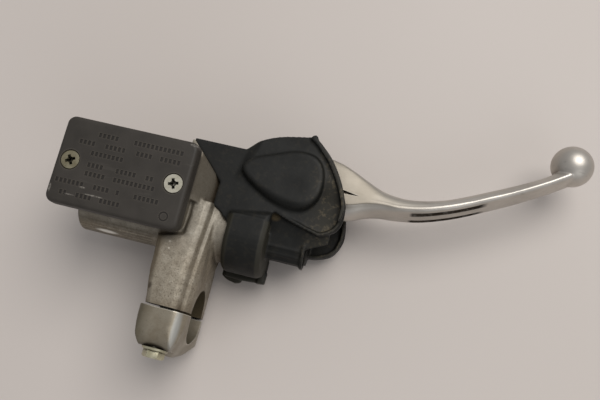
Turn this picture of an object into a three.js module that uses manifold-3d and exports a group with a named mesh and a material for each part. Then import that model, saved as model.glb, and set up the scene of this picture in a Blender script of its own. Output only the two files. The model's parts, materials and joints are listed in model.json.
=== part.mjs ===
// Right-hand front brake master cylinder for an off-road motorcycle, with its lever, as it comes off the
// handlebar. Millimetres.
//
// Frame: the origin is the centre of the handlebar bore, +X runs along the handlebar to the lever's ball
// end, +Y points forward from the handlebar to the cylinder, and +Z is up, along the lever's pivot. The
// cylinder bore and the lever lie in the plane z = 0.

import * as THREE from "three";
import { mergeVertices } from "three/addons/utils/BufferGeometryUtils.js";
import Module from "manifold-3d";

const wasm = await Module();
wasm.setup();

// ---------------------------------------------------------------- driving dimensions

const GAP = 0.3; // between pieces that touch
const SEGMENTS = 28; // round a bore or a boss
const FINE_SEGMENTS = 20; // round a screw or a pin

// Handlebar clamp
const BAR_RADIUS = 11.1; // a 22.2 mm handlebar
const CLAMP_WIDTH = 17; // the arm's width at the bar
const CAP_WIDTH = 19;
const CLAMP_HALF_HEIGHT = 20.8;
const SPLIT_GAP = 0.9; // between the arm and the cap, once the bolts are tight
const CLAMP_BOLT_Z = 15.4; // each bolt's distance from the bar's centre
const CLAMP_BOLT_RADIUS = 3; // M6
const CLAMP_BOLT_END = 10; // how far the bolts reach into the arm
const UPPER_SEAT = 15.6; // the bolt heads' seats, measured from the bar's centre
const LOWER_SEAT = 10.7;
const CAP_BACK = 17.9; // the back of the cap, round the bar

// Cylinder
const BORE_Y = 36.5; // the cylinder's axis, parallel to the handlebar
const BORE_RADIUS = 6.35; // a half-inch bore
const TUBE_RADIUS = 12;
const TUBE_LEFT = -51;
const TUBE_RIGHT = 14;
const BORE_LEFT = -41; // the bore's blind end
const HOSE_PORT_RADIUS = 4.3; // M10 thread, minor size
const HOSE_PORT_DEPTH = 9;
const SNAP_RING_X = 10.4;

// Reservoir, in its own frame: the origin is the middle of the cover's top face
const RESERVOIR_ORIGIN = [-30.2, 46.1, 28.8];
const RESERVOIR_TILT = 0.087; // 5 degrees about X, so that the cover leans towards the rider
const COVER_LENGTH = 55.7;
const COVER_WIDTH = 36.2;
const COVER_CORNER = 3.4;
const COVER_THICKNESS = 5.6;
const SCREW_SPACING = 43.3;
const SCREW_HEAD_RADIUS = 3.8;
const SCREW_RADIUS = 2; // M4
const FLANGE_THICKNESS = 1.4; // the diaphragm's edge between the cover and the reservoir
const RIM_Z = -(COVER_THICKNESS + FLANGE_THICKNESS + 2 * GAP);
const RESERVOIR_LENGTH = 53.6;
const RESERVOIR_WIDTH = 34.2;
const RESERVOIR_WALL = 2.8;
const RESERVOIR_FLOOR = -19;
const RESERVOIR_BOTTOM = -24.5;

// Lever and its pivot
const PIVOT = [34.4, 62.8];
const PIVOT_RADIUS = 3; // the bolt's shank
const BUSHING_RADIUS = 4.6;
const LEVER_HALF_HUB = 6;
const LEVER_HALF_HEIGHT = 7.4;
const BLADE_BEVEL_HEIGHT = 3;
const BLADE_BEVEL_INSET = 1.8;
const GROOVE_RADIUS = 1.3; // the two grooves in the blade's rear face
const EAR_INNER = 6.5; // the perch's ears start here, above and below the lever
const EAR_OUTER = 12;
const PERCH_WEB_TOP = 9.6; // the web that carries the ears
const EAR_RADIUS = 10;
const HUB_RADIUS = 9.2;
const KNOCKER_LEFT = 33.9; // the lever's short arm behind the piston
const KNOCKER_RIGHT = 41;
const KNOCKER_RADIUS = 3.9;
const LINK_HALF_HEIGHT = 4; // the lever's metal between its hub and that short arm
const ADJUSTER_RADIUS = 2; // M4
const ADJUSTER_TIP_X = 29.9;
const ADJUSTER_END_X = 44;
const BALL_CENTRE = [145.7, 99.1];
const BALL_RADIUS = 8.65;

// Rubber dust cover over the perch
const COVER_SKIN = 2.2;
const COVER_TOP = 14.8;
const PAD_TOP = 16.2;
const SLEEVE_RADIUS = 15;
const SLEEVE_LEFT = 12.9;
const SLEEVE_RIGHT = 29.6;
const KNOCKER_POCKET_RADIUS = 6.2;
const KNOCKER_POCKET_SKIN = 1;
const KNOCKER_POCKET_RIGHT = 45.5;

// Piston assembly, from its outer end inwards
const PISTON_RADIUS = 6.28;
const PISTON_RIGHT = 29.6; // the seat for the adjuster's tip
const SECONDARY_CUP_X = 2.6;
const PRIMARY_CUP_X = -20;
const CUP_LENGTH = 4;
const STEM_RADIUS = 3.6; // the piston's outer end
const BOOT_RIGHT = 27;
const BOOT_SKIN = 0.9;
const BOOT_VALLEY_RADIUS = 5.6;
const BOOT_RIDGE_RADIUS = 6.5;
const BOOT_BASE_X = 12.1; // in the bore's mouth
const PISTON_LEFT = -25;
const SPRING_RADIUS = 4.4;
const SPRING_WIRE = 0.9;

// ---------------------------------------------------------------- materials

function finish(color, roughness, metalness) {
  return new THREE.MeshStandardMaterial({ color, roughness, metalness });
}

const castAluminium = finish(0x8d8576, 0.65, 0.7);
const leverAluminium = finish(0xb9b0a2, 0.35, 0.9);
const coverPlastic = finish(0x46423f, 0.55, 0.0);
const blackRubber = finish(0x2d2e2c, 0.75, 0.0);
const yellowZinc = finish(0xcfc6a4, 0.35, 0.8);
const darkSteel = finish(0x6c6a66, 0.4, 0.8);
const brass = finish(0xb08d4a, 0.4, 0.8);
const whiteNylon = finish(0xd8d6cf, 0.5, 0.0);

// ---------------------------------------------------------------- solids

// A closed geometry as a solid that can be joined and cut.
function solid(geometry) {
  const bare = geometry.clone();
  bare.deleteAttribute("normal");
  bare.deleteAttribute("uv");
  const merged = mergeVertices(bare, 1e-4);
  return new wasm.Manifold(
    new wasm.Mesh({
      numProp: 3,
      vertProperties: new Float32Array(merged.attributes.position.array),
      triVerts: new Uint32Array(merged.index.array),
    }),
  );
}

function union(first, ...others) {
  return others.reduce((whole, piece) => whole.add(piece), first);
}

function cut(first, ...others) {
  return others.reduce((whole, piece) => whole.subtract(piece), first);
}

function geometryOf(shape) {
  const mesh = shape.getMesh();
  const geometry = new THREE.BufferGeometry();
  const positions = new Float32Array(mesh.numVert * 3);
  for (let i = 0; i < mesh.numVert; i++) {
    const start = i * mesh.numProp;
    positions.set(mesh.vertProperties.subarray(start, start + 3), i * 3);
  }
  geometry.setAttribute("position", new THREE.BufferAttribute(positions, 3));
  geometry.setIndex(new THREE.BufferAttribute(new Uint32Array(mesh.triVerts), 1));
  geometry.computeVertexNormals();
  return geometry;
}

function box(from, to) {
  const size = to.map((value, i) => value - from[i]);
  const middle = to.map((value, i) => (value + from[i]) / 2);
  return solid(new THREE.BoxGeometry(...size).translate(...middle));
}

// A closed outline in the XY plane, extruded from one height to another.
function prism(shape, bottom, top, curveSegments = 8) {
  const options = { depth: top - bottom, bevelEnabled: false, curveSegments };
  return solid(new THREE.ExtrudeGeometry(shape, options).translate(0, 0, bottom));
}

// An outline drawn as (y, z), extruded along X.
function prismAlongX(shape, left, right, curveSegments = 8) {
  const options = { depth: right - left, bevelEnabled: false, curveSegments };
  const geometry = new THREE.ExtrudeGeometry(shape, options);
  geometry.rotateY(Math.PI / 2).rotateX(Math.PI / 2);
  return solid(geometry.translate(left, 0, 0));
}

// An outline drawn as (x, z), extruded along Y.
function prismAlongY(points, rear, front) {
  const options = { depth: front - rear, bevelEnabled: false };
  const geometry = new THREE.ExtrudeGeometry(polygon(points), options);
  return solid(geometry.rotateX(Math.PI / 2).translate(0, front, 0));
}

// A round piece with its axis along Z, from [radius, z] points listed upwards from the axis to the axis.
function turned(points, segments = SEGMENTS) {
  const profile = points.map(([radius, z]) => new THREE.Vector2(radius, z));
  return new THREE.LatheGeometry(profile, segments).rotateX(Math.PI / 2);
}

// The same with its axis along X, at the cylinder's bore, from [radius, x] points.
function turnedOnBore(points, segments = SEGMENTS) {
  return turned(points, segments)
    .rotateY(Math.PI / 2)
    .translate(0, BORE_Y, 0);
}

function rod(radius, bottom, top, segments = SEGMENTS) {
  return turned([[0, bottom], [radius, bottom], [radius, top], [0, top]], segments);
}

function rodOnBore(radius, left, right, segments = SEGMENTS) {
  return turnedOnBore([[0, left], [radius, left], [radius, right], [0, right]], segments);
}

function roundedRectangle(length, width, corner) {
  const x = length / 2;
  const y = width / 2;
  const shape = new THREE.Shape();
  shape.moveTo(corner - x, -y).lineTo(x - corner, -y);
  shape.absarc(x - corner, corner - y, corner, -Math.PI / 2, 0);
  shape.lineTo(x, y - corner).absarc(x - corner, y - corner, corner, 0, Math.PI / 2);
  shape.lineTo(corner - x, y).absarc(corner - x, y - corner, corner, Math.PI / 2, Math.PI);
  shape.lineTo(-x, corner - y).absarc(corner - x, corner - y, corner, Math.PI, 1.5 * Math.PI);
  return shape;
}

function polygon(points) {
  return new THREE.Shape(points.map(([x, y]) => new THREE.Vector2(x, y)));
}

function hexagonPrism(acrossFlats, bottom, top) {
  const radius = acrossFlats / Math.sqrt(3);
  return rod(radius, bottom, top, 6);
}

// A cross recess: two crossed slots with straight walls, cut down from top.
function crossRecess(armLength, armWidth, depth, top) {
  const arm = box([-armLength / 2, -armWidth / 2, top - depth], [armLength / 2, armWidth / 2, top + 1]);
  return union(arm, arm.rotate([0, 0, 90]));
}

const root = new THREE.Group();
const reservoirGroup = new THREE.Group();
reservoirGroup.position.set(...RESERVOIR_ORIGIN);
reservoirGroup.rotation.x = RESERVOIR_TILT;
root.add(reservoirGroup);

// A named piece in a group; shape is a solid or a geometry.
function addPiece(group, name, shape, material) {
  const geometry = shape.isBufferGeometry ? shape : geometryOf(shape);
  const mesh = new THREE.Mesh(geometry, material);
  mesh.name = name;
  group.add(mesh);
  return mesh;
}

// Moves a solid from the reservoir's frame to the part's frame.
function fromReservoir(shape) {
  const degrees = THREE.MathUtils.radToDeg(RESERVOIR_TILT);
  return shape.rotate([degrees, 0, 0]).translate(RESERVOIR_ORIGIN);
}

// ---------------------------------------------------------------- body casting

// The reservoir's outer block, which narrows a little downwards, in the part's frame.
function reservoirBlock() {
  const outline = roundedRectangle(RESERVOIR_LENGTH, RESERVOIR_WIDTH, COVER_CORNER);
  return fromReservoir(prism(outline, RESERVOIR_BOTTOM, RIM_Z, 4));
}

// The fluid space, with a round boss for a cover screw left standing at each end.
function reservoirCavity() {
  const length = RESERVOIR_LENGTH - 2 * RESERVOIR_WALL;
  const width = RESERVOIR_WIDTH - 2 * RESERVOIR_WALL;
  const space = prism(roundedRectangle(length, width, 2.5), RESERVOIR_FLOOR, 1, 3);
  const bosses = [-1, 1].map((side) => {
    const boss = rod(4.4, RESERVOIR_FLOOR - 1, RIM_Z, FINE_SEGMENTS);
    const web = box([0, -4.4, RESERVOIR_FLOOR - 1], [6, 4.4, RIM_Z]);
    const turnedWeb = side < 0 ? web.rotate([0, 0, 180]) : web;
    return union(solid(boss), turnedWeb).translate([(side * SCREW_SPACING) / 2, 0, 0]);
  });
  return fromReservoir(cut(space, ...bosses));
}

function coverScrewHoles() {
  const hole = solid(rod(SCREW_RADIUS + GAP, RIM_Z - 11, RIM_Z + 1, 12));
  const holes = [-1, 1].map((side) => hole.translate([(side * SCREW_SPACING) / 2, 0, 0]));
  return fromReservoir(union(...holes));
}

// The arm from the cylinder down to the upper half of the bar clamp: a side outline, a plan outline, and the
// section's sides, which draw in above and below.
function arm() {
  const side = new THREE.Shape();
  side.moveTo(SPLIT_GAP / 2, -CLAMP_HALF_HEIGHT).lineTo(9, -CLAMP_HALF_HEIGHT);
  side.quadraticCurveTo(22, -20.6, 33, -16.2).lineTo(45.5, -12.6).lineTo(45.5, 16);
  side.lineTo(33, 18.2).quadraticCurveTo(20, 20.6, 9, CLAMP_HALF_HEIGHT);
  side.lineTo(SPLIT_GAP / 2, CLAMP_HALF_HEIGHT);
  const half = CLAMP_WIDTH / 2;
  const right = [[half, -1], [9, 22], [8.5, 42.5], [4.4, 42.5], [4.4, 46]];
  const plan = polygon([[-half, -1], ...right, [-15, 46], [-11.8, 22]]);
  return prismAlongX(side, -20, 20).intersect(prism(plan, -30, 30)).intersect(clampSides(-20, 9, 60));
}

// The section that the arm and the cap share, seen along Y: full width at mid height, narrower at both ends.
function clampSides(left, right, front) {
  const top = CLAMP_HALF_HEIGHT;
  const narrow = right - 2.4;
  const below = [[left, -30], [narrow, -30], [narrow, -top], [right, -8]];
  const above = [[right, 8], [narrow, top], [left, top]];
  return prismAlongY([...below, ...above], -30, front);
}

// The slanting web on the reservoir's side, above the perch.
function reservoirWeb() {
  return prismAlongY([[-8, 8], [4.4, 8], [4.4, 9.5], [-3, 20], [-8, 20]], 44, 56.4);
}

function handlebarBore() {
  const bore = rod(BAR_RADIUS, -40, 40, 40).rotateY(Math.PI / 2);
  return solid(bore);
}

// One of the two lever ears; hub end round, root end broad.
function ear(bottom, top) {
  const [px, py] = PIVOT;
  const shape = new THREE.Shape();
  shape.moveTo(12, 68.8).lineTo(px, py + EAR_RADIUS);
  shape.absarc(px, py, EAR_RADIUS, Math.PI / 2, -Math.PI / 2, true);
  shape.lineTo(12, 47);
  return prism(shape, bottom, top, 10);
}

// The web that carries the ears: from the cylinder forward, beside the reservoir.
function perchWeb() {
  const plan = [[-12, 42], [19, 42], [20.5, 50], [19, 68.8], [-6, 68.8], [-12, 64]];
  return prism(polygon(plan), -EAR_OUTER, PERCH_WEB_TOP);
}

function cylinderBore() {
  const profile = [
    [0, BORE_LEFT],
    [BORE_RADIUS, BORE_LEFT],
    [BORE_RADIUS, SNAP_RING_X - 3],
    [BORE_RADIUS + 0.9, SNAP_RING_X - 2.6],
    [BORE_RADIUS + 0.9, SNAP_RING_X - 0.2],
    [BORE_RADIUS + 1.9, SNAP_RING_X - 0.2],
    [BORE_RADIUS + 1.9, SNAP_RING_X + 1.3],
    [BORE_RADIUS + 0.9, SNAP_RING_X + 1.3],
    [BORE_RADIUS + 0.9, TUBE_RIGHT + 1],
    [0, TUBE_RIGHT + 1],
  ];
  return solid(turnedOnBore(profile));
}

function hosePort() {
  const profile = [
    [0, TUBE_LEFT - 1],
    [HOSE_PORT_RADIUS, TUBE_LEFT - 1],
    [HOSE_PORT_RADIUS, TUBE_LEFT + HOSE_PORT_DEPTH - 1],
    [1.5, TUBE_LEFT + HOSE_PORT_DEPTH],
    [1.5, BORE_LEFT + 1],
    [0, BORE_LEFT + 1],
  ];
  return solid(turnedOnBore(profile, 20));
}

// The supply port and the small compensating port between the reservoir and the bore.
function fluidPorts() {
  const supply = solid(rod(1.6, 3, 16, 10)).translate([-12, BORE_Y, 0]);
  const compensating = solid(rod(0.8, 3, 16, 8)).translate([-22.6, BORE_Y, 0]);
  return union(supply, compensating);
}

function tube() {
  const profile = [
    [0, TUBE_LEFT],
    [TUBE_RADIUS - 1, TUBE_LEFT],
    [TUBE_RADIUS, TUBE_LEFT + 1],
    [TUBE_RADIUS, TUBE_RIGHT - 0.8],
    [TUBE_RADIUS - 0.8, TUBE_RIGHT],
    [0, TUBE_RIGHT],
  ];
  return solid(turnedOnBore(profile));
}

function armBoltHoles() {
  const hole = solid(rod(CLAMP_BOLT_RADIUS + GAP, -1, 15, 12).rotateX(-Math.PI / 2));
  return union(...[-1, 1].map((side) => hole.translate([0, 0, side * CLAMP_BOLT_Z])));
}

function pivotHole(radius) {
  return solid(rod(radius, -20, 20, FINE_SEGMENTS)).translate([...PIVOT, 0]);
}

function bodyCasting() {
  const slot = box([TUBE_RIGHT + 1, 20, -EAR_INNER], [60, 90, EAR_INNER]);
  const perch = cut(union(perchWeb(), ear(EAR_INNER, EAR_OUTER), ear(-EAR_OUTER, -EAR_INNER)), slot);
  const outside = union(reservoirBlock(), tube(), arm(), reservoirWeb(), perch);
  return cut(
    outside,
    reservoirCavity(),
    coverScrewHoles(),
    handlebarBore(),
    cylinderBore(),
    hosePort(),
    fluidPorts(),
    armBoltHoles(),
    pivotHole(PIVOT_RADIUS + GAP),
  );
}

addPiece(root, "master_cylinder_body", bodyCasting(), castAluminium);

// ---------------------------------------------------------------- handlebar clamp cap and its bolts

// The cap is round where it passes behind the bar; its lower seat is set further in than its upper one.
function clampCap() {
  const side = new THREE.Shape();
  side.moveTo(-SPLIT_GAP / 2, CLAMP_HALF_HEIGHT);
  side.lineTo(-8, CLAMP_HALF_HEIGHT).quadraticCurveTo(-14, 20.5, -UPPER_SEAT, 18.5);
  side.lineTo(-UPPER_SEAT, 10).quadraticCurveTo(-CAP_BACK - 1.2, 2, -15.8, -6.5);
  side.quadraticCurveTo(-14, -9.6, -LOWER_SEAT, -9.8);
  side.lineTo(-LOWER_SEAT, -18.5).quadraticCurveTo(-9.5, -20.5, -6, -CLAMP_HALF_HEIGHT);
  side.lineTo(-SPLIT_GAP / 2, -CLAMP_HALF_HEIGHT);
  const half = CAP_WIDTH / 2;
  const narrow = half - 3.5;
  const plan = polygon([[-half, 1], [-half, -8], [-narrow, -19], [narrow, -19], [half, -8], [half, 1]]);
  const body = prismAlongX(side, -20, 20).intersect(prism(plan, -30, 30)).intersect(clampSides(-20, half, 5));
  const hole = solid(rod(CLAMP_BOLT_RADIUS + GAP, 0, 25, 12).rotateX(Math.PI / 2));
  const holes = [-1, 1].map((end) => hole.translate([0, 0, end * CLAMP_BOLT_Z]));
  return cut(body, handlebarBore(), ...holes);
}

// A hexagon bolt with a flange, its head towards -Y.
function clampBolt(seat) {
  const head = union(
    solid(rod(5.6, -1.4, 0, FINE_SEGMENTS)),
    solid(hexagonPrism(8, -4.4, -0.5)),
    solid(rod(CLAMP_BOLT_RADIUS, -0.5, seat + CLAMP_BOLT_END, FINE_SEGMENTS)),
  );
  return geometryOf(head).rotateX(-Math.PI / 2).translate(0, -seat - GAP, 0);
}

addPiece(root, "clamp_cap", clampCap(), castAluminium);
addPiece(root, "clamp_bolt_upper", clampBolt(UPPER_SEAT), yellowZinc).position.z = CLAMP_BOLT_Z;
addPiece(root, "clamp_bolt_lower", clampBolt(LOWER_SEAT), yellowZinc).position.z = -CLAMP_BOLT_Z;

// ---------------------------------------------------------------- reservoir cover and what is under it

const POCKET_DEPTH = 2.6; // the hollow under the cover
const POCKET_LENGTH = 33.5;
const POCKET_WIDTH = 26;

function reservoirCover() {
  const plate = prism(roundedRectangle(COVER_LENGTH, COVER_WIDTH, COVER_CORNER), -COVER_THICKNESS, 0, 5);
  const pocketOutline = roundedRectangle(POCKET_LENGTH, POCKET_WIDTH, 2);
  const pocket = prism(pocketOutline, -COVER_THICKNESS - 1, POCKET_DEPTH - COVER_THICKNESS, 3);
  const sink = turned([
    [0, -COVER_THICKNESS - 1],
    [SCREW_RADIUS + GAP, -COVER_THICKNESS - 1],
    [SCREW_RADIUS + GAP, -2.4],
    [SCREW_HEAD_RADIUS + GAP, -0.4],
    [SCREW_HEAD_RADIUS + GAP, 1],
    [0, 1],
  ], FINE_SEGMENTS);
  const sinks = [-1, 1].map((side) => solid(sink).translate([(side * SCREW_SPACING) / 2, 0, 0]));
  return cut(plate, pocket, ...sinks);
}

function coverScrew() {
  const length = 13;
  const body = turned([
    [0, -length],
    [SCREW_RADIUS, -length],
    [SCREW_RADIUS, -2.3],
    [SCREW_HEAD_RADIUS, -0.4],
    [SCREW_HEAD_RADIUS, 0],
    [0, 0],
  ], FINE_SEGMENTS);
  return cut(solid(body), crossRecess(4.2, 1.1, 1.6, 0));
}

function diaphragmPlate() {
  const outline = roundedRectangle(POCKET_LENGTH - 1, POCKET_WIDTH - 1, 1.6);
  const plate = prism(outline, -COVER_THICKNESS + 0.2, -COVER_THICKNESS + 1.2, 3);
  const window = prism(roundedRectangle(20, 14, 2), -COVER_THICKNESS - 1, 0, 3);
  return cut(plate, window);
}

function reservoirDiaphragm() {
  const top = -COVER_THICKNESS - GAP;
  const flangeOutline = roundedRectangle(RESERVOIR_LENGTH - 0.4, RESERVOIR_WIDTH - 0.4, COVER_CORNER);
  const flange = prism(flangeOutline, top - FLANGE_THICKNESS, top, 4);
  const pouch = prism(roundedRectangle(32, 25, 3), top - 8, top - 0.5, 4);
  const inside = prism(roundedRectangle(29.4, 22.4, 2), top - 6.8, top + 1, 4);
  const hole = solid(rod(SCREW_RADIUS + GAP, top - 4, top + 1, 12));
  const holes = [-1, 1].map((side) => hole.translate([(side * SCREW_SPACING) / 2, 0, 0]));
  return cut(union(flange, pouch), inside, ...holes);
}

// A small bent baffle on the reservoir's floor, over the ports.
function portProtector() {
  const plate = box([-5, -2.7, -0.8], [5, 2.7, 0]);
  const legs = [-1, 1].map((side) => box([side * 5 - 0.4, -2.7, -3], [side * 5 + 0.4, 2.7, 0]));
  return union(plate, ...legs).translate([9, -11.2, RESERVOIR_FLOOR + 3 + GAP]);
}

const SCREW_SEAT = -0.15; // the heads sit just below the cover's face
addPiece(reservoirGroup, "reservoir_cover", reservoirCover(), coverPlastic);
for (const [name, side] of [["cover_screw_left", -1], ["cover_screw_right", 1]]) {
  const screw = addPiece(reservoirGroup, name, coverScrew(), yellowZinc);
  screw.position.set((side * SCREW_SPACING) / 2, 0, SCREW_SEAT);
  screw.rotation.z = 0.35;
}
addPiece(reservoirGroup, "diaphragm_plate", diaphragmPlate(), whiteNylon);
addPiece(reservoirGroup, "reservoir_diaphragm", reservoirDiaphragm(), blackRubber);
addPiece(reservoirGroup, "port_protector", portProtector(), whiteNylon);

// ---------------------------------------------------------------- piston assembly

function ringOnBore(inner, outer, left, right, segments = SEGMENTS) {
  const profile = [[inner, left], [outer, left], [outer, right], [inner, right], [inner, left]];
  return turnedOnBore(profile, segments);
}

function piston() {
  const groove = PISTON_RADIUS - 2.2;
  return turnedOnBore([
    [0, PISTON_LEFT],
    [SPRING_RADIUS - SPRING_WIRE - 0.4, PISTON_LEFT],
    [SPRING_RADIUS - SPRING_WIRE - 0.4, PRIMARY_CUP_X - 1],
    [groove, PRIMARY_CUP_X - 1],
    [groove, PRIMARY_CUP_X + CUP_LENGTH],
    [PISTON_RADIUS, PRIMARY_CUP_X + CUP_LENGTH],
    [PISTON_RADIUS, PRIMARY_CUP_X + CUP_LENGTH + 1.5],
    [groove, PRIMARY_CUP_X + CUP_LENGTH + 2],
    [groove, SECONDARY_CUP_X - 1.5],
    [PISTON_RADIUS, SECONDARY_CUP_X - 1.3],
    [PISTON_RADIUS, SECONDARY_CUP_X],
    [groove, SECONDARY_CUP_X],
    [groove, SECONDARY_CUP_X + CUP_LENGTH],
    [PISTON_RADIUS, SECONDARY_CUP_X + CUP_LENGTH],
    [PISTON_RADIUS, SECONDARY_CUP_X + CUP_LENGTH + 1.2],
    [STEM_RADIUS, SECONDARY_CUP_X + CUP_LENGTH + 1.2],
    [STEM_RADIUS, PISTON_RIGHT],
    [0, PISTON_RIGHT],
  ]);
}

// A lip seal in a piston groove, open towards the pressure side.
function cup(x, lip) {
  const inner = PISTON_RADIUS - 2.2 + GAP;
  return turnedOnBore([
    [inner, x + GAP],
    [inner + 0.5, x + GAP],
    [inner + 0.9, x + 1.6],
    [lip - 0.3, x + GAP],
    [lip, x + GAP],
    [lip - 0.2, x + CUP_LENGTH - GAP],
    [inner, x + CUP_LENGTH - GAP],
    [inner, x + GAP],
  ]);
}

// The spring between the bore's blind end and the piston, an open wire coil.
function returnSpring() {
  const left = BORE_LEFT + GAP + SPRING_WIRE / 2;
  const right = PRIMARY_CUP_X - 1.4 - SPRING_WIRE / 2;
  const turns = 6;
  const steps = turns * 12;
  const centre = SPRING_RADIUS - SPRING_WIRE / 2;
  const points = [];
  for (let i = 0; i <= steps; i++) {
    const part = i / steps;
    const angle = part * turns * 2 * Math.PI;
    const x = left + (right - left) * part;
    points.push(new THREE.Vector3(x, BORE_Y + centre * Math.cos(angle), centre * Math.sin(angle)));
  }
  const wire = new THREE.Shape().absarc(0, 0, SPRING_WIRE / 2, 0, 2 * Math.PI);
  const path = new THREE.CatmullRomCurve3(points);
  return new THREE.ExtrudeGeometry(wire, { steps, extrudePath: path, curveSegments: 3 });
}

// An internal snap ring with the gap that its ends leave.
function snapRing() {
  const ring = solid(ringOnBore(BORE_RADIUS - 0.4, BORE_RADIUS + 1.5, SNAP_RING_X + GAP, SNAP_RING_X + 1));
  return cut(ring, box([SNAP_RING_X - 5, BORE_Y - 12, -2], [SNAP_RING_X + 5, BORE_Y, 2]));
}

// The rubber bellows that keeps dirt off the piston's outer end: its base is in the bore's mouth, its lip
// is round the piston's stem.
function pistonBoot() {
  const stem = STEM_RADIUS + GAP;
  const folds = 4;
  const pitch = (BOOT_RIGHT - 2 - TUBE_RIGHT) / folds;
  const outside = [];
  const inside = [];
  for (let i = 0; i < folds; i++) {
    const x = TUBE_RIGHT + i * pitch;
    outside.push([BOOT_VALLEY_RADIUS, x], [BOOT_RIDGE_RADIUS, x + pitch / 2]);
    inside.push([BOOT_VALLEY_RADIUS - BOOT_SKIN, x], [BOOT_RIDGE_RADIUS - BOOT_SKIN, x + pitch / 2]);
  }
  return turnedOnBore([
    [BOOT_VALLEY_RADIUS - BOOT_SKIN, BOOT_BASE_X],
    [BORE_RADIUS + 0.5, BOOT_BASE_X],
    [BORE_RADIUS + 0.5, TUBE_RIGHT - 0.4],
    ...outside,
    [stem + 1.6, BOOT_RIGHT - 2],
    [stem + 1.6, BOOT_RIGHT],
    [stem, BOOT_RIGHT],
    [stem, BOOT_RIGHT - 2.4],
    ...inside.reverse(),
    [BOOT_VALLEY_RADIUS - BOOT_SKIN, BOOT_BASE_X],
  ]);
}

addPiece(root, "piston", piston(), brass);
addPiece(root, "primary_cup", cup(PRIMARY_CUP_X, BORE_RADIUS - 0.05), blackRubber);
addPiece(root, "secondary_cup", cup(SECONDARY_CUP_X, BORE_RADIUS - 0.05), blackRubber);
addPiece(root, "return_spring", returnSpring(), darkSteel);
const washer = ringOnBore(STEM_RADIUS + GAP, BORE_RADIUS + 0.6, SNAP_RING_X - 2.3, SNAP_RING_X - 0.5);
addPiece(root, "retaining_washer", washer, darkSteel);
addPiece(root, "snap_ring", snapRing(), darkSteel);
addPiece(root, "piston_boot", pistonBoot(), blackRubber);

// ---------------------------------------------------------------- lever

// The finger blade in plan: its front edge from the hub to the ball, then its rear edge back.
function bladeOutline() {
  const front = [
    [52, 77.6], [64.5, 72.4], [74, 69.8], [82.6, 68.9],
    [91, 70], [99, 72.4], [114, 79.6], [129.3, 87.2],
  ];
  const rear = [
    [136, 83.9], [122, 77], [106, 69.4], [98, 65.3],
    [90, 62.3], [81, 60.7], [72, 60.2], [63, 58.6],
  ];
  const shape = new THREE.Shape();
  shape.moveTo(40, 70.5).lineTo(44, 80.5);
  shape.splineThru([...front, [138, 93.5]].map(([x, y]) => new THREE.Vector2(x, y)));
  shape.lineTo(149, 91.5);
  shape.splineThru([...rear, [54, 55.6]].map(([x, y]) => new THREE.Vector2(x, y)));
  shape.lineTo(38, 57);
  return shape;
}

// The blade is tall and narrow, with its long edges taken off.
function blade() {
  const options = {
    depth: 2 * (LEVER_HALF_HEIGHT - BLADE_BEVEL_HEIGHT),
    bevelThickness: BLADE_BEVEL_HEIGHT,
    bevelSize: BLADE_BEVEL_INSET,
    bevelOffset: -BLADE_BEVEL_INSET,
    bevelSegments: 1,
    curveSegments: 2,
  };
  const geometry = new THREE.ExtrudeGeometry(bladeOutline(), options);
  return solid(geometry.translate(0, 0, BLADE_BEVEL_HEIGHT - LEVER_HALF_HEIGHT));
}

// The two long grooves in the blade's rear face, either side of a rib.
function bladeGroove(z) {
  const plan = [[81, 60.4], [90, 61.9], [98, 64.9], [106, 68.9], [113, 72.3]];
  const path = new THREE.CatmullRomCurve3(plan.map(([x, y]) => new THREE.Vector3(x, y, z)));
  const section = new THREE.Shape().absarc(0, 0, GROOVE_RADIUS, 0, 2 * Math.PI);
  return solid(new THREE.ExtrudeGeometry(section, { steps: 10, extrudePath: path, curveSegments: 4 }));
}

// The hub on the pivot, and the arm from it that carries the adjuster behind the piston.
function leverHub() {
  const [px, py] = PIVOT;
  const hub = solid(rod(HUB_RADIUS, -LEVER_HALF_HUB, LEVER_HALF_HUB)).translate([px, py, 0]);
  const linkPlan = [
    [28, 59], [42.5, 59],
    [KNOCKER_RIGHT, BORE_Y], [KNOCKER_LEFT, BORE_Y], [KNOCKER_LEFT, 43],
  ];
  const link = prism(polygon(linkPlan), -LINK_HALF_HEIGHT, LINK_HALF_HEIGHT);
  const knocker = solid(rodOnBore(KNOCKER_RADIUS, KNOCKER_LEFT, KNOCKER_RIGHT, 20));
  const neckPlan = [[34, 54.5], [56, 56.5], [53, 76.5], [34, 70]];
  const neck = prism(polygon(neckPlan), -LEVER_HALF_HUB, LEVER_HALF_HUB);
  return union(hub, link, knocker, neck);
}

function brakeLever() {
  const ball = new THREE.SphereGeometry(BALL_RADIUS, 24, 16).translate(...BALL_CENTRE, 0);
  const clearance = solid(rod(12.5, LEVER_HALF_HUB, 30, FINE_SEGMENTS)).translate([...PIVOT, 0]);
  const clearanceBelow = solid(rod(12.5, -30, -LEVER_HALF_HUB, FINE_SEGMENTS)).translate([...PIVOT, 0]);
  const adjusterHole = solid(rodOnBore(ADJUSTER_RADIUS + GAP, 10, 60, 16));
  return cut(
    union(blade(), leverHub(), solid(ball)),
    clearance,
    clearanceBelow,
    bladeGroove(3.2),
    bladeGroove(-3.2),
    adjusterHole,
    pivotHole(BUSHING_RADIUS + GAP),
  );
}

function adjusterScrew() {
  const body = turnedOnBore([
    [0, ADJUSTER_TIP_X],
    [1.5, ADJUSTER_TIP_X],
    [ADJUSTER_RADIUS, ADJUSTER_TIP_X + 0.8],
    [ADJUSTER_RADIUS, ADJUSTER_END_X],
    [0, ADJUSTER_END_X],
  ], 16);
  const slot = box([ADJUSTER_END_X - 1.5, BORE_Y - 5, -0.5], [ADJUSTER_END_X + 1, BORE_Y + 5, 0.5]);
  return cut(solid(body), slot);
}

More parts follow.
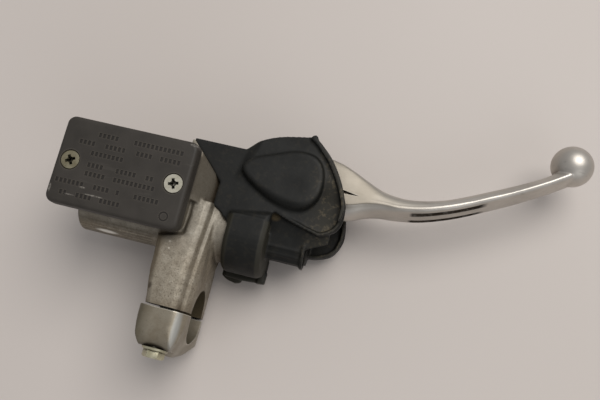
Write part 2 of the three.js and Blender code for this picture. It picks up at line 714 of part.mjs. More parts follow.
function adjusterLocknut() {
  const nut = cut(solid(hexagonPrism(7, 0, 2.6)), solid(rod(ADJUSTER_RADIUS + GAP, -1, 5, 16)));
  return geometryOf(nut).rotateY(Math.PI / 2).translate(KNOCKER_LEFT - 2.6 - GAP, BORE_Y, 0);
}

function pivotBushing() {
  const length = LEVER_HALF_HUB + 0.2;
  const ring = [
    [PIVOT_RADIUS + GAP, -length],
    [BUSHING_RADIUS, -length],
    [BUSHING_RADIUS, length],
    [PIVOT_RADIUS + GAP, length],
    [PIVOT_RADIUS + GAP, -length],
  ];
  return turned(ring, FINE_SEGMENTS).translate(...PIVOT, 0);
}

// The pivot bolt hangs from its head on the upper ear, inside the dust cover.
function pivotBolt() {
  const head = turned([
    [0, -16.8],
    [PIVOT_RADIUS - 0.4, -16.8],
    [PIVOT_RADIUS, -16.2],
    [PIVOT_RADIUS, EAR_OUTER + GAP - 0.1],
    [5.2, EAR_OUTER + GAP - 0.1],
    [5.2, EAR_OUTER + 1.2],
    [0, EAR_OUTER + 1.2],
  ], FINE_SEGMENTS);
  return head.translate(...PIVOT, 0);
}

function pivotNut() {
  const nut = cut(
    solid(hexagonPrism(9, -EAR_OUTER - GAP - 3.6, -EAR_OUTER - GAP)),
    solid(rod(PIVOT_RADIUS + GAP, -30, 0, 16)),
  );
  return nut.translate([...PIVOT, 0]);
}

addPiece(root, "brake_lever", brakeLever(), leverAluminium);
addPiece(root, "adjuster_screw", adjusterScrew(), yellowZinc);
addPiece(root, "adjuster_locknut", adjusterLocknut(), yellowZinc);
addPiece(root, "pivot_bushing", pivotBushing(), brass);
addPiece(root, "pivot_bolt", pivotBolt(), darkSteel);
addPiece(root, "pivot_nut", pivotNut(), darkSteel);

// ---------------------------------------------------------------- rubber dust cover over the perch

// The upper skin in plan: straight beside the reservoir, domed round the pivot, lipped at the lever.
function upperSkinOutline() {
  const shape = new THREE.Shape();
  shape.moveTo(4.8, 43).lineTo(4.8, 55).lineTo(-10.5, 70.3).lineTo(-10.5, 71.5).lineTo(12, 71.5);
  shape.quadraticCurveTo(20, 80, 39.5, 82.5);
  shape.quadraticCurveTo(52, 71, 57.5, 57);
  shape.quadraticCurveTo(58.5, 46, 50, 42.5).lineTo(SLEEVE_RIGHT, 48).lineTo(SLEEVE_RIGHT, 43);
  return shape;
}

// The lower skin reaches further to the rear than the upper one.
function lowerSkinOutline() {
  const shape = new THREE.Shape();
  shape.moveTo(SLEEVE_LEFT, 43).lineTo(SLEEVE_LEFT, 72).quadraticCurveTo(20, 80, 39.5, 82.5);
  shape.quadraticCurveTo(52, 72, 58, 58).quadraticCurveTo(61, 45, 56, 40.5);
  shape.quadraticCurveTo(52, 37, 44, 36.5);
  shape.lineTo(SLEEVE_RIGHT, 36.5);
  return shape;
}

// The round sleeve over the cylinder's end: half round at the rear, open towards the lever's hub.
function sleeve(radius, left, right) {
  const side = new THREE.Shape();
  side.moveTo(48, -radius).lineTo(BORE_Y, -radius);
  side.absarc(BORE_Y, 0, radius, -Math.PI / 2, -1.5 * Math.PI, true);
  side.lineTo(48, radius);
  return prismAlongX(side, left, right, 14);
}

// The front wall, under the domed edge, between the two skins.
function frontWall() {
  const shape = new THREE.Shape();
  shape.moveTo(-10.5, 71.5).lineTo(12, 71.5).quadraticCurveTo(20, 80, 39.5, 82.5);
  shape.lineTo(38.5, 82.5 - COVER_SKIN).quadraticCurveTo(21, 77.6, 13, 71.5 - COVER_SKIN);
  shape.lineTo(13, 69.3).lineTo(-9.3, 69.3).lineTo(-10.5, 70.3);
  return shape;
}

// The raised pad over the pivot, a drop that points at the reservoir.
function raisedPad() {
  const [px, py] = [34.4, 62.6];
  const shape = new THREE.Shape();
  shape.moveTo(15.5, 67.2).quadraticCurveTo(22, 72.5, 33, 74.4);
  shape.absarc(px, py, 11.8, 1.6, -1.75, true);
  shape.quadraticCurveTo(24, 53.5, 15, 59.5).quadraticCurveTo(12.6, 63, 15.5, 67.2);
  return prism(shape, COVER_TOP - 1, PAD_TOP, 8);
}

// The smaller half-round pocket that the lever's short arm sweeps in, beside the sleeve.
function knockerPocket() {
  const outer = sleeve(KNOCKER_POCKET_RADIUS, SLEEVE_RIGHT - 1, KNOCKER_POCKET_RIGHT);
  const innerRadius = KNOCKER_POCKET_RADIUS - KNOCKER_POCKET_SKIN;
  const inner = sleeve(innerRadius, SLEEVE_RIGHT - 2, KNOCKER_POCKET_RIGHT + 1);
  const shell = cut(outer, inner);
  const floorCorner = [KNOCKER_POCKET_RIGHT, BORE_Y + 8, -innerRadius];
  const floor = box([SLEEVE_RIGHT - 1, BORE_Y - 3, -COVER_TOP], floorCorner);
  return union(cut(shell, box([0, BORE_Y + 4, -1], [60, 90, 20])), floor);
}

function leverDustCover() {
  const inner = COVER_TOP - COVER_SKIN;
  const upper = prism(upperSkinOutline(), inner, COVER_TOP, 8);
  const lower = prism(lowerSkinOutline(), -COVER_TOP, -inner, 8);
  const front = prism(frontWall(), -COVER_TOP, COVER_TOP, 8);
  const over = sleeve(SLEEVE_RADIUS, SLEEVE_LEFT, SLEEVE_RIGHT);
  const inside = sleeve(SLEEVE_RADIUS - COVER_SKIN, SLEEVE_LEFT - 1, SLEEVE_RIGHT + 1);
  const opened = cut(over, inside, box([0, 44, -inner], [60, 90, inner]));
  const outside = union(upper, lower, front, raisedPad(), opened, knockerPocket());
  const bolt = solid(rod(6, -30, EAR_OUTER + 1.6, FINE_SEGMENTS)).translate([...PIVOT, 0]);
  return cut(outside, bolt);
}

addPiece(root, "lever_dust_cover", leverDustCover(), blackRubber);

export default root;
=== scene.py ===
"""A motorcycle's front brake master cylinder with its lever, lying on a pale table.

Every length in this file is in millimetres until MM turns it into metres. The frame is the CAD part's own:
the origin is the centre of the handlebar bore, +X runs towards the lever's ball, +Y points forward and +Z is
up along the lever's pivot.
"""

import json
import math

import bpy
import bmesh
from mathutils import Euler, Matrix, Vector


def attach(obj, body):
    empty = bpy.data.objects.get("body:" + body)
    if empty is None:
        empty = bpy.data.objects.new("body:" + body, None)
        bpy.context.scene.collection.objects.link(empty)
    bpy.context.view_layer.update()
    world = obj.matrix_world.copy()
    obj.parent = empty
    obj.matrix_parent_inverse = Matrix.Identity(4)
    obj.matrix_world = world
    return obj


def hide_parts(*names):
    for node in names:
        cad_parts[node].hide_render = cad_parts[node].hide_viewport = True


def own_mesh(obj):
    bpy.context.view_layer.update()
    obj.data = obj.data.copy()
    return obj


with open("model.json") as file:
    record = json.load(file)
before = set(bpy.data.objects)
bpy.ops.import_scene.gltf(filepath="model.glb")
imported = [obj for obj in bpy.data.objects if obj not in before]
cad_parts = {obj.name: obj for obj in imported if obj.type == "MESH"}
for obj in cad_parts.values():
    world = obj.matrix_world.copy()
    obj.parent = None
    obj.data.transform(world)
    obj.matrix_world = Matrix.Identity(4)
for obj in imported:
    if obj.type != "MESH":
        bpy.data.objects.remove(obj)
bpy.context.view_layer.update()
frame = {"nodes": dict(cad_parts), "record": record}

MM = 0.001

# ---- sizes in millimetres

# Handlebar clamp
BAR_RADIUS = 11.1
SPLIT_GAP = 0.9
CLAMP_HALF_HEIGHT = 20.8
CLAMP_BOLT_Z = 15.4
UPPER_SEAT = 15.6
LOWER_SEAT = 10.7
CLAMP_BOLT_END = 10
CLAMP_BOLT_HOLE = 3.3

# Cylinder: its axis, stepped bore and snap ring groove
BORE_Y = 36.5
BORE_RADIUS = 6.35
BORE_BOTTOM = -41
MOUTH_RADIUS = 7.25
RING_RADIUS = 8.25
RING_LEFT = 10.2
RING_RIGHT = 11.7
TUBE_LEFT = -51
TUBE_RIGHT = 14

# Reservoir and cover, in a frame of their own: its origin and its lean in radians
RESERVOIR_ORIGIN = Vector((-30.2, 46.1, 28.8))
RESERVOIR_TILT = 0.087
COVER_LENGTH = 55.7
COVER_WIDTH = 36.2
COVER_CORNER = 3.4
COVER_THICKNESS = 5.6
RIM_Z = -7.6
RESERVOIR_LENGTH = 53.6
RESERVOIR_WIDTH = 34.2
RESERVOIR_BOTTOM = -24.5
HOLLOW_LENGTH = 48
HOLLOW_WIDTH = 28.6
HOLLOW_BOTTOM = -19
SCREW_SPACING = 43.3
SCREW_HOLE = 2.3

# Perch and lever
PIVOT = Vector((34.4, 62.8, 0))
EAR_INNER = 6.5
EAR_OUTER = 12
EAR_TOP = 10.2
PIVOT_HOLE = 3.3
BALL_CENTRE = Vector((145.7, 99.1, 0))
BALL_RADIUS = 8.65
GROOVE_START = 84
GROOVE_END = 113

# Rubber cover
SLEEVE_RADIUS = 15
SLEEVE_LEFT = 12.9
SLEEVE_RIGHT = 29.6
POCKET_RADIUS = 6.2
POCKET_RIGHT = 45.5
SKIN_THICKNESS = 2.3
SKIN_BOTTOM = -14.8

FLOOR_Z = -21.3


# ---- making solids


def new_object(name, points, faces):
    """A mesh object from points in millimetres."""
    mesh = bpy.data.meshes.new(name)
    mesh.from_pydata([Vector(p) * MM for p in points], [], faces)
    made = bpy.data.objects.new(name, mesh)
    bpy.context.scene.collection.objects.link(made)
    return made


def outward(made, merged=False):
    """Turns every face of a closed mesh outwards, with coinciding points merged first if asked."""
    shape = bmesh.new()
    shape.from_mesh(made.data)
    if merged:
        bmesh.ops.remove_doubles(shape, verts=shape.verts, dist=1e-7)
    bmesh.ops.recalc_face_normals(shape, faces=shape.faces)
    shape.to_mesh(made.data)
    shape.free()
    return made


def lofted(name, rings):
    """A closed solid through rings of equally many points, with a flat face at each end."""
    count = len(rings[0])
    points = [p for ring in rings for p in ring]
    faces = []
    for i in range(len(rings) - 1):
        for j in range(count):
            k = (j + 1) % count
            faces.append((i * count + j, i * count + k, (i + 1) * count + k, (i + 1) * count + j))
    faces.append(tuple(range(count)))
    last = (len(rings) - 1) * count
    faces.append(tuple(range(last, last + count)))
    return outward(new_object(name, points, faces))


def prism(name, outline, bottom, top):
    """An (x, y) outline, extruded from one height to another."""
    return lofted(name, [[(x, y, z) for x, y in outline] for z in (bottom, top)])


def prism_along_x(name, outline, left, right):
    """A (y, z) outline, extruded along X."""
    return lofted(name, [[(x, y, z) for y, z in outline] for x in (left, right)])


def prism_along_y(name, outline, rear, front):
    """An (x, z) outline, extruded along Y."""
    return lofted(name, [[(x, y, z) for x, z in outline] for y in (rear, front)])


def box(name, low, high):
    corners = [(low[0], low[1]), (high[0], low[1]), (high[0], high[1]), (low[0], high[1])]
    return prism(name, corners, low[2], high[2])


def turned(name, profile, steps=64):
    """A round solid about Z from (radius, z) points; flat ends are closed to the axis."""
    rings = []
    for radius, z in [(0, profile[0][1]), *profile, (0, profile[-1][1])]:
        angles = [2 * math.pi * i / steps for i in range(steps)]
        rings.append([(radius * math.cos(a), radius * math.sin(a), z) for a in angles])
    return outward(lofted(name, rings), merged=True)


def rod(name, radius, bottom, top, steps=64):
    """A plain cylinder about Z."""
    return turned(name, [(radius, bottom), (radius, top)], steps)


def placed(made, matrix):
    made.data.transform(matrix)
    return made


def moved(made, offset):
    return placed(made, Matrix.Translation(Vector(offset) * MM))


def spun(made, degrees, axis):
    """Turns a piece about the X, Y or Z axis."""
    return placed(made, Matrix.Rotation(math.radians(degrees), 4, axis))


def along_bore(made):
    """Turns a round solid from the Z axis to the cylinder's bore, z becoming x."""
    return moved(spun(made, 90, "Y"), (0, BORE_Y, 0))


def tilted(made):
    """From the reservoir's own frame, whose origin is the middle of the cover's top, to the part's."""
    placed(made, Matrix.Rotation(RESERVOIR_TILT, 4, "X"))
    return moved(made, RESERVOIR_ORIGIN)


def arc(cx, cy, radius, start, end, steps=8):
    """Points along an arc, angles in degrees."""
    angles = [math.radians(start + (end - start) * i / steps) for i in range(steps + 1)]
    return [(cx + radius * math.cos(a), cy + radius * math.sin(a)) for a in angles]


def rounded_rectangle(length, width, corner, steps=8):
    x, y = length / 2 - corner, width / 2 - corner
    outline = []
    for quarter, (sx, sy) in enumerate(((1, 1), (-1, 1), (-1, -1), (1, -1))):
        outline += arc(sx * x, sy * y, corner, 90 * quarter, 90 * quarter + 90, steps)
    return outline


def curve_points(controls, steps=8, closed=False):
    """A smooth line through the controls (Catmull-Rom)."""
    count = len(controls)
    spans = count if closed else count - 1
    result = []
    for i in range(spans):
        near = range(i - 1, i + 3)
        picked = [k % count if closed else min(max(k, 0), count - 1) for k in near]
        p0, p1, p2, p3 = (Vector(controls[k]) for k in picked)
        for step in range(steps):
            t = step / steps
            a = 2 * p1
            b = (p2 - p0) * t
            c = (2 * p0 - 5 * p1 + 4 * p2 - p3) * t * t
            d = (3 * p1 - p0 - 3 * p2 + p3) * t * t * t
            result.append(tuple((a + b + c + d) / 2))
    if not closed:
        result.append(tuple(controls[-1]))
    return result


def apply_modifiers(made):
    bpy.context.view_layer.update()
    evaluated = made.evaluated_get(bpy.context.evaluated_depsgraph_get())
    mesh = bpy.data.meshes.new_from_object(evaluated)
    made.modifiers.clear()
    old = made.data
    made.data = mesh
    bpy.data.meshes.remove(old)
    return made


def combine(target, other, operation):
    """Applies a boolean with another piece, which is used up."""
    modifier = target.modifiers.new(operation, "BOOLEAN")
    modifier.operation = operation
    modifier.solver = "MANIFOLD"
    modifier.object = other
    apply_modifiers(target)
    bpy.data.objects.remove(other)
    return target


def cut(target, *cutters):
    for cutter in cutters:
        combine(target, cutter, "DIFFERENCE")
    return target


def common(target, other):
    return combine(target, other, "INTERSECT")


def join(first, *others):
    """Puts several closed shells into one mesh, overlaps and all."""
    shape = bmesh.new()
    shape.from_mesh(first.data)
    for other in others:
        shape.from_mesh(other.data)
        bpy.data.objects.remove(other)
    shape.to_mesh(first.data)
    shape.free()
    return first


def fused(made, voxel, rounds):
    """Melts overlapping shells into one skin with soft fillets, as a casting or a moulding has."""
    remesh = made.modifiers.new("fuse", "REMESH")
    remesh.mode = "VOXEL"
    remesh.voxel_size = voxel * MM
    smooth = made.modifiers.new("fillet", "SMOOTH")
    smooth.factor = 0.5
    smooth.iterations = rounds
    return apply_modifiers(made)


def softened(made, width, segments):
    """Rounds the sharp edges."""
    bevel = made.modifiers.new("edges", "BEVEL")
    bevel.width = width * MM
    bevel.segments = segments
    bevel.limit_method = "ANGLE"
    bevel.angle_limit = math.radians(30)
    return apply_modifiers(made)


def shaded(made, angle=35):
    """Smooth shading, with edges sharper than the angle kept crisp."""
    for face in made.data.polygons:
        face.use_smooth = True
    made.data.set_sharp_from_angle(angle=math.radians(angle))
    return made


# ---- materials


class Nodes:
    """A short way to write a procedural material."""

    def __init__(self, name):
        self.material = bpy.data.materials.new(name)
        self.material.use_nodes = True
        self.tree = self.material.node_tree
        self.shader = self.tree.nodes["Principled BSDF"]
        self.position = self.tree.nodes.new("ShaderNodeTexCoord").outputs["Object"]
        self.color = None

    def fill(self, node, inputs):
        """Sets a node's inputs: each value is another node's output or a constant."""
        for key, value in inputs.items():
            if hasattr(value, "is_output"):
                self.tree.links.new(value, node.inputs[key])
            else:
                node.inputs[key].default_value = value

    def node(self, kind, inputs=None, **settings):
        made = self.tree.nodes.new(kind)
        for key, value in settings.items():
            setattr(made, key, value)
        self.fill(made, inputs or {})
        return made

    def noise(self, scale, detail=4, roughness=0.55, stretch=None, distortion=0):
        """Noise from 0 to 1; scale is in features per metre."""
        position = self.position
        if stretch:
            position = self.node("ShaderNodeMapping", {"Vector": position, "Scale": stretch}).outputs[0]
        inputs = {"Vector": position, "Scale": scale, "Detail": detail}
        inputs.update({"Roughness": roughness, "Distortion": distortion})
        return self.node("ShaderNodeTexNoise", inputs).outputs["Fac"]

    def ramp(self, factor, *stops):
        """Colours or greys along a factor: stops are (place, value)."""
        made = self.node("ShaderNodeValToRGB", {"Fac": factor})
        elements = made.color_ramp.elements
        while len(elements) < len(stops):
            elements.new(0.5)
        for element, (place, value) in zip(elements, stops):
            element.position = place
            element.color = (*value, 1) if hasattr(value, "__len__") else (value, value, value, 1)
        return made.outputs["Color"]

    def over(self, tone, *masks):
        """Lays a tone over the colour so far where all the masks allow it; a number weakens it."""
        inputs = {0: self.both(*masks), 6: self.color, 7: (*tone, 1)}
        self.color = self.node("ShaderNodeMix", inputs, data_type="RGBA").outputs[2]

    def math(self, operation, *values):
        return self.node("ShaderNodeMath", dict(enumerate(values)), operation=operation).outputs[0]

    def vector_math(self, operation, *vectors):
        return self.node("ShaderNodeVectorMath", dict(enumerate(vectors)), operation=operation).outputs

    def bump(self, height, distance, strength=1, below=None):
        """A bumped normal: distance is the height in millimetres."""
        inputs = {"Height": height, "Distance": distance * MM, "Strength": strength}
        if below is not None:
            inputs["Normal"] = below
        return self.node("ShaderNodeBump", inputs).outputs[0]

    def edges(self, radius, low, high):
        """1 on edges that stick out and get worn, 0 elsewhere."""
        bevel = self.node("ShaderNodeBevel", {"Radius": radius * MM}, samples=4).outputs[0]
        normal = self.node("ShaderNodeNewGeometry").outputs["Normal"]
        return self.ramp(self.vector_math("DOT_PRODUCT", bevel, normal)["Value"], (low, 1), (high, 0))

    def crevice_shade(self, distance, low=0.35, high=0.9):
        """Painted shade: 1 in corners and recesses, found by ambient occlusion, 0 in the open."""
        occlusion = self.node("ShaderNodeAmbientOcclusion", {"Distance": distance * MM}, samples=6)
        return self.ramp(occlusion.outputs["AO"], (low, 1), (high, 0))

    def axis(self, index, vector=None):
        """One coordinate of the position, in metres, or of another vector."""
        return self.node("ShaderNodeSeparateXYZ", {0: vector or self.position}).outputs[index]

    def step(self, value, low, high):
        """0 below low, 1 above high, straight in between; the ends may be the other way round."""
        made = self.node("ShaderNodeMapRange", {0: value, 1: low, 2: high, 3: 0, 4: 1}, clamp=True)
        return made.outputs[0]

    def along(self, axis, low, high):
        """0 below low and 1 above high on the X, Y or Z axis, in millimetres; the ends may be swapped."""
        return self.step(self.axis("XYZ".index(axis)), low * MM, high * MM)

    def both(self, *masks):
        """1 only where every mask is 1."""
        result = masks[0]
        for mask in masks[1:]:
            result = self.math("MULTIPLY", result, mask)
        return result

    def spot(self, centre, radii):
        """1 in a small ellipsoid (millimetres), fading out from 0.6 to 1.3 of its radii."""
        away = self.vector_math("SUBTRACT", self.position, [c * MM for c in centre])[0]
        scaled = self.vector_math("MULTIPLY", away, [1 / (r * MM) for r in radii])[0]
        return self.step(self.vector_math("LENGTH", scaled)["Value"], 1.3, 0.6)

    def handlebar_bore(self):
        """1 on the handlebar bore's wall, 0 outside it."""
        across = self.vector_math("MULTIPLY", self.position, (0, 1, 1))[0]
        radius = self.vector_math("LENGTH", across)["Value"]
        return self.step(radius, (BAR_RADIUS + 0.5) * MM, (BAR_RADIUS + 0.15) * MM)

    def upward(self):
        """How far the surface faces up, from -1 to 1."""
        return self.axis(2, self.node("ShaderNodeNewGeometry").outputs["Normal"])

    def finish(self, roughness, metallic, normal=None, **constants):
        """Fills in the shader and hands back the material."""
        inputs = {"Base Color": self.color, "Roughness": roughness, "Metallic": metallic, **constants}
        if normal is not None:
            inputs["Normal"] = normal
        self.fill(self.shader, inputs)
        return self.material


def cast_metal():
    """Rough cast aluminium, weathered to a warm grey; the reservoir's steep walls are darkened with painted
    shade.
    """
    m = Nodes("cast_aluminium")
    mottle = m.noise(330, 6, 0.66)
    grain = m.noise(1500, 3, 0.6)
    dark, middle, light = (0.195, 0.165, 0.123), (0.262, 0.228, 0.176), (0.335, 0.298, 0.238)
    m.color = m.ramp(mottle, (0.3, dark), (0.5, middle), (0.72, light))
    m.over((0.185, 0.142, 0.092), m.ramp(m.noise(60, 4, 0.6), (0.45, 0), (0.68, 0.5)))
    m.over((0.1, 0.078, 0.05), m.ramp(grain, (0.33, 0.7), (0.46, 0)))
    m.over((0.43, 0.4, 0.34), m.ramp(m.noise(800, 4, 0.7), (0.6, 0), (0.72, 0.55)))
    # Painted light: the arm's upward faces are paler and cooler. Painted shade: the reservoir's steep walls,
    # its slanting facet and the hollow by its corner are dark.
    m.over((0.3, 0.285, 0.25), m.along("Y", 16, 30), m.step(m.upward(), 0.6, 0.9), 0.35)
    steep = m.step(m.upward(), 0.82, 0.62)
    near_wall = m.both(steep, m.along("X", -3, -5), m.along("Y", 26.6, 28.4))
    slant = m.both(m.step(m.upward(), 0.88, 0.56), m.along("Y", 40.5, 46.5), m.along("X", -9.2, -7.8))
    slanted_y = m.math("MULTIPLY_ADD", m.axis(0), -0.3, m.axis(1))
    before_corner = m.step(slanted_y, 28.2 * MM, 29.8 * MM)
    hollow = m.both(before_corner, m.along("X", 1, -0.6), m.along("X", -18.5, -16.5))
    hollow_tone = m.math("MULTIPLY_ADD", m.along("X", -4.5, -2.5), 0.55, 0.1)
    wall = m.math("MAXIMUM", m.math("MAXIMUM", near_wall, slant), m.both(hollow, hollow_tone))
    m.over((0.095, 0.081, 0.061), wall, 0.85)
    # Streaks along the cylinder, with one painted highlight on it.
    streaks = m.ramp(m.noise(1300, 2, 0.6, stretch=(0.02, 1, 1)), (0.35, 0), (0.62, 1))
    tube = m.both(m.along("X", -16.5, -18.5), m.along("Y", 29.2, 27.6))
    m.over((0.085, 0.072, 0.052), tube, streaks, 0.75)
    m.over((0.75, 0.72, 0.66), m.spot((-38, 25.2, 4), (4.5, 1.2, 1.2)))
    # Brown stains down the arm's left side and at the split, and two small bright chips.
    m.over((0.11, 0.082, 0.048), m.spot((-10.8, 14, 18), (2.8, 20, 8)), 0.75)
    m.over((0.12, 0.088, 0.052), m.along("Y", 4.5, 1), 0.45)
    m.over((0.06, 0.042, 0.026), m.spot((-8.2, 6.8, 20), (1, 1.2, 2.5)), 0.8)
    for place in ((-6, 25.4, 18.8), (-5.4, 22.6, 19.4)):
        m.over((0.62, 0.58, 0.5), m.spot(place, (0.45, 0.35, 1.5)), 0.6)
    # Painted shade in corners, weakened in the hollow by the reservoir's corner.
    open_air = m.math("MULTIPLY_ADD", hollow, -0.75, 1)
    m.over((0.05, 0.036, 0.022), m.crevice_shade(5), open_air)
    m.over((0.04, 0.027, 0.008), m.handlebar_bore(), 0.9)
    normal = m.bump(mottle, 0.3, 0.4, m.bump(grain, 0.16, 0.5))
    return m.finish(m.ramp(mottle, (0.3, 0.62), (0.7, 0.46)), 0.45, normal)


def cap_metal():
    """The clamp cap: the same metal, handled smoother and shinier."""
    m = Nodes("cap_aluminium")
    mottle = m.noise(120, 5, 0.55)
    grain = m.noise(1300, 3, 0.6)
    m.color = m.ramp(mottle, (0.3, (0.205, 0.176, 0.13)), (0.7, (0.295, 0.262, 0.204)))
    m.over((0.12, 0.1, 0.075), m.ramp(grain, (0.3, 0.4), (0.42, 0)))
    m.over((0.17, 0.132, 0.083), m.ramp(m.noise(210, 5, 0.6), (0.48, 0), (0.7, 0.5)))
    m.over((0.52, 0.49, 0.43), m.edges(0.7, 0.86, 0.99))
    # A painted highlight on the right shoulder.
    m.over((0.5, 0.51, 0.5), m.spot((6.4, -6.5, 18.5), (1.3, 8, 5)), 0.55)
    # A painted shadow in a crescent above the upper bolt's seat, broken up by noise, then painted shade in
    # corners.
    shade_breakup = m.ramp(m.noise(600, 4, 0.6), (0.35, 0.4), (0.5, 1))
    m.over((0.05, 0.043, 0.035), m.spot((0, -15.3, 17.8), (6, 1.2, 3.5)), shade_breakup, 0.8)
    m.over((0.04, 0.031, 0.022), m.crevice_shade(4))
    m.over((0.105, 0.088, 0.058), m.along("X", -3.5, -8), 0.75)
    roughness = m.ramp(mottle, (0.3, 0.46), (0.7, 0.34))
    normal = m.bump(mottle, 0.2, 0.2, m.bump(grain, 0.05, 0.4))
    return m.finish(roughness, 0.6, normal)


def lever_metal():
    """Forged lever, worn bright by the hand, with fine scratches along it."""
    m = Nodes("lever_aluminium")
    cloud = m.noise(60, 4, 0.55)
    scratch = m.noise(700, 3, 0.6, stretch=(0.12, 1, 1))
    m.color = m.ramp(cloud, (0.3, (0.455, 0.422, 0.38)), (0.7, (0.59, 0.552, 0.505)))
    m.over((0.2, 0.18, 0.15), m.ramp(scratch, (0.25, 0.35), (0.4, 0)))
    m.over((0.86, 0.84, 0.8), m.edges(0.8, 0.9, 0.995), 0.6)
    # Painted shade in corners.
    m.over((0.05, 0.036, 0.025), m.crevice_shade(3, 0.5, 0.9))
    # Darker in the two grooves of the rear face, which lies along a slanting line there.
    height = m.math("ABSOLUTE", m.axis(2))
    in_band = m.both(m.step(height, 2 * MM, 2.6 * MM), m.step(height, 6 * MM, 5.4 * MM))
    in_length = m.both(
        m.along("X", GROOVE_START - 0.5, GROOVE_START + 1),
        m.along("X", GROOVE_END + 1, GROOVE_END - 1.5),
    )
    rear_line = m.math("MULTIPLY_ADD", m.axis(0), 0.393, 29.3 * MM)
    behind = m.step(m.math("SUBTRACT", m.axis(1), rear_line), 1.2 * MM, 0.6 * MM)
    groove_patches = m.ramp(m.noise(500, 4, 0.6), (0.3, 0.75), (0.5, 1))
    m.over((0.022, 0.015, 0.01), in_band, in_length, behind, groove_patches)
    # Painted shade on the upward faces near the perch.
    upper = m.step(m.upward(), 0.75, 0.93)
    m.over((0.215, 0.188, 0.148), m.along("X", 94, 66), upper, 0.8)
    roughness = m.ramp(cloud, (0.3, 0.46), (0.7, 0.38))
    normal = m.bump(scratch, 0.04, 0.35, m.bump(cloud, 0.3, 0.2))
    return m.finish(roughness, 0.9, normal)


def lid_plastic():
    """The reservoir cover: dark brown-grey plastic, its marks darkened with painted shade, with scuffs and
    paler worn edges.
    """
    m = Nodes("cover_plastic")
    cloud = m.noise(90, 5, 0.6)
    fine = m.noise(1800, 2, 0.5)
    scuff = m.noise(420, 5, 0.7, stretch=(0.1, 1, 1), distortion=0.6)
    m.color = m.ramp(cloud, (0.3, (0.027, 0.0228, 0.0182)), (0.7, (0.041, 0.035, 0.0288)))
    m.over((0.085, 0.075, 0.064), m.ramp(scuff, (0.62, 0), (0.76, 0.45)))
    m.over((0.075, 0.063, 0.05), m.edges(0.9, 0.86, 0.985))
    # Painted shade on the floors of the sunk marks.
    slope = m.math("MULTIPLY_ADD", m.axis(1), -math.tan(RESERVOIR_TILT), m.axis(2))
    top = (RESERVOIR_ORIGIN.z - RESERVOIR_ORIGIN.y * math.tan(RESERVOIR_TILT)) * MM
    below_top = m.step(slope, top - 0.05 * MM, top - 0.1 * MM)
    above_floor = m.step(slope, top - 0.4 * MM, top - 0.3 * MM)
    flat = m.step(m.upward(), 0.975, 0.985)
    m.over((0.01, 0.008, 0.0065), below_top, above_floor, flat, 0.8)
    for place, size in (
        ((-48.2, 32.6, 27.6), (2, 0.25, 2)),
        ((-38.2, 34.1, 27.8), (3.4, 0.3, 2)),
        ((-43.6, 36.4, 28), (1.2, 0.35, 2)),
        ((-4.4, 62.6, 30), (1.5, 0.5, 2)),
        ((-56.6, 33.6, 27.6), (0.5, 1.6, 2)),
    ):
        worn = m.ramp(m.noise(900, 4, 0.7), (0.42, 0.2), (0.6, 1))
        m.over((0.36, 0.33, 0.29), m.spot(place, size), worn, 0.7)
    roughness = m.ramp(cloud, (0.3, 0.5), (0.7, 0.62))
    normal = m.bump(fine, 0.03, 0.5, m.bump(cloud, 0.15, 0.3))
    return m.finish(roughness, 0, normal, **{"Specular IOR Level": 0.36})


def rubber():
    """Old black rubber, with brown dust where it lies: right of the pad and under the cover's free edge."""
    m = Nodes("black_rubber")
    cloud = m.noise(110, 5, 0.6)
    fine = m.noise(1400, 3, 0.6)
    dust = m.noise(420, 6, 0.7)
    m.color = m.ramp(cloud, (0.3, (0.0052, 0.0053, 0.0046)), (0.7, (0.0094, 0.0095, 0.0082)))
    right = m.both(m.step(m.upward(), 0.5, 0.9), m.along("X", 41, 50))
    m.over((0.036, 0.031, 0.021), right, 0.5)
    specks = m.ramp(dust, (0.52, 0), (0.7, 0.7))
    m.over((0.13, 0.103, 0.063), specks, m.math("MULTIPLY_ADD", right, 0.88, 0.12))
    # Painted shade on the lower skin at its right, under the upper skin's overhang.
    m.over((0.0015, 0.0015, 0.0013), m.along("Z", -10, -11.2), m.along("X", 45.5, 47), 0.8)
    m.over((0.065, 0.047, 0.022), m.spot((30.6, 46.6, 9), (2.2, 1.4, 3)), 0.8)
    # A paler film on both edges of the sleeve and on its flange.
    left_edge = m.both(m.along("X", 15.4, 14.6), m.along("X", 12, 12.6))
    right_edge = m.both(m.along("X", 27.2, 27.8), m.along("X", 30, 29.6))
    sleeve_edge = m.both(m.math("MAXIMUM", left_edge, right_edge), m.along("Y", 43.5, 42.5))
    flange = m.both(m.along("Z", -8.5, -9.5), m.along("Y", 24, 23))
    m.over((0.031, 0.028, 0.019), m.math("MAXIMUM", sleeve_edge, flange), 0.65)
    m.over((0.045, 0.042, 0.036), m.edges(0.5, 0.85, 0.99), 0.55)
    # Painted shade in corners.
    m.over((0.004, 0.0035, 0.003), m.crevice_shade(3, 0.3, 0.75), 0.3)
    roughness = m.ramp(cloud, (0.3, 0.62), (0.7, 0.5))
    normal = m.bump(fine, 0.05, 0.45, m.bump(cloud, 0.35, 0.4))
    return m.finish(roughness, 0, normal, **{"Specular IOR Level": 0.26})


def plated(name, dark, light, roughness=0.32):
    """A plated or plain metal piece, a little uneven."""
    m = Nodes(name)
    cloud = m.noise(320, 4, 0.6)
    spots = m.noise(1100, 3, 0.6)
    m.color = m.ramp(cloud, (0.35, dark), (0.65, light))
    m.over(tuple(0.3 * c for c in dark), m.ramp(spots, (0.28, 0.6), (0.4, 0)))
    # Painted shade in recesses.
    m.over(tuple(0.05 * c for c in dark), m.crevice_shade(2, 0.5, 0.92))
    uneven = m.ramp(cloud, (0.3, roughness + 0.12), (0.7, roughness))
    return m.finish(uneven, 0.75, m.bump(spots, 0.04, 0.4))


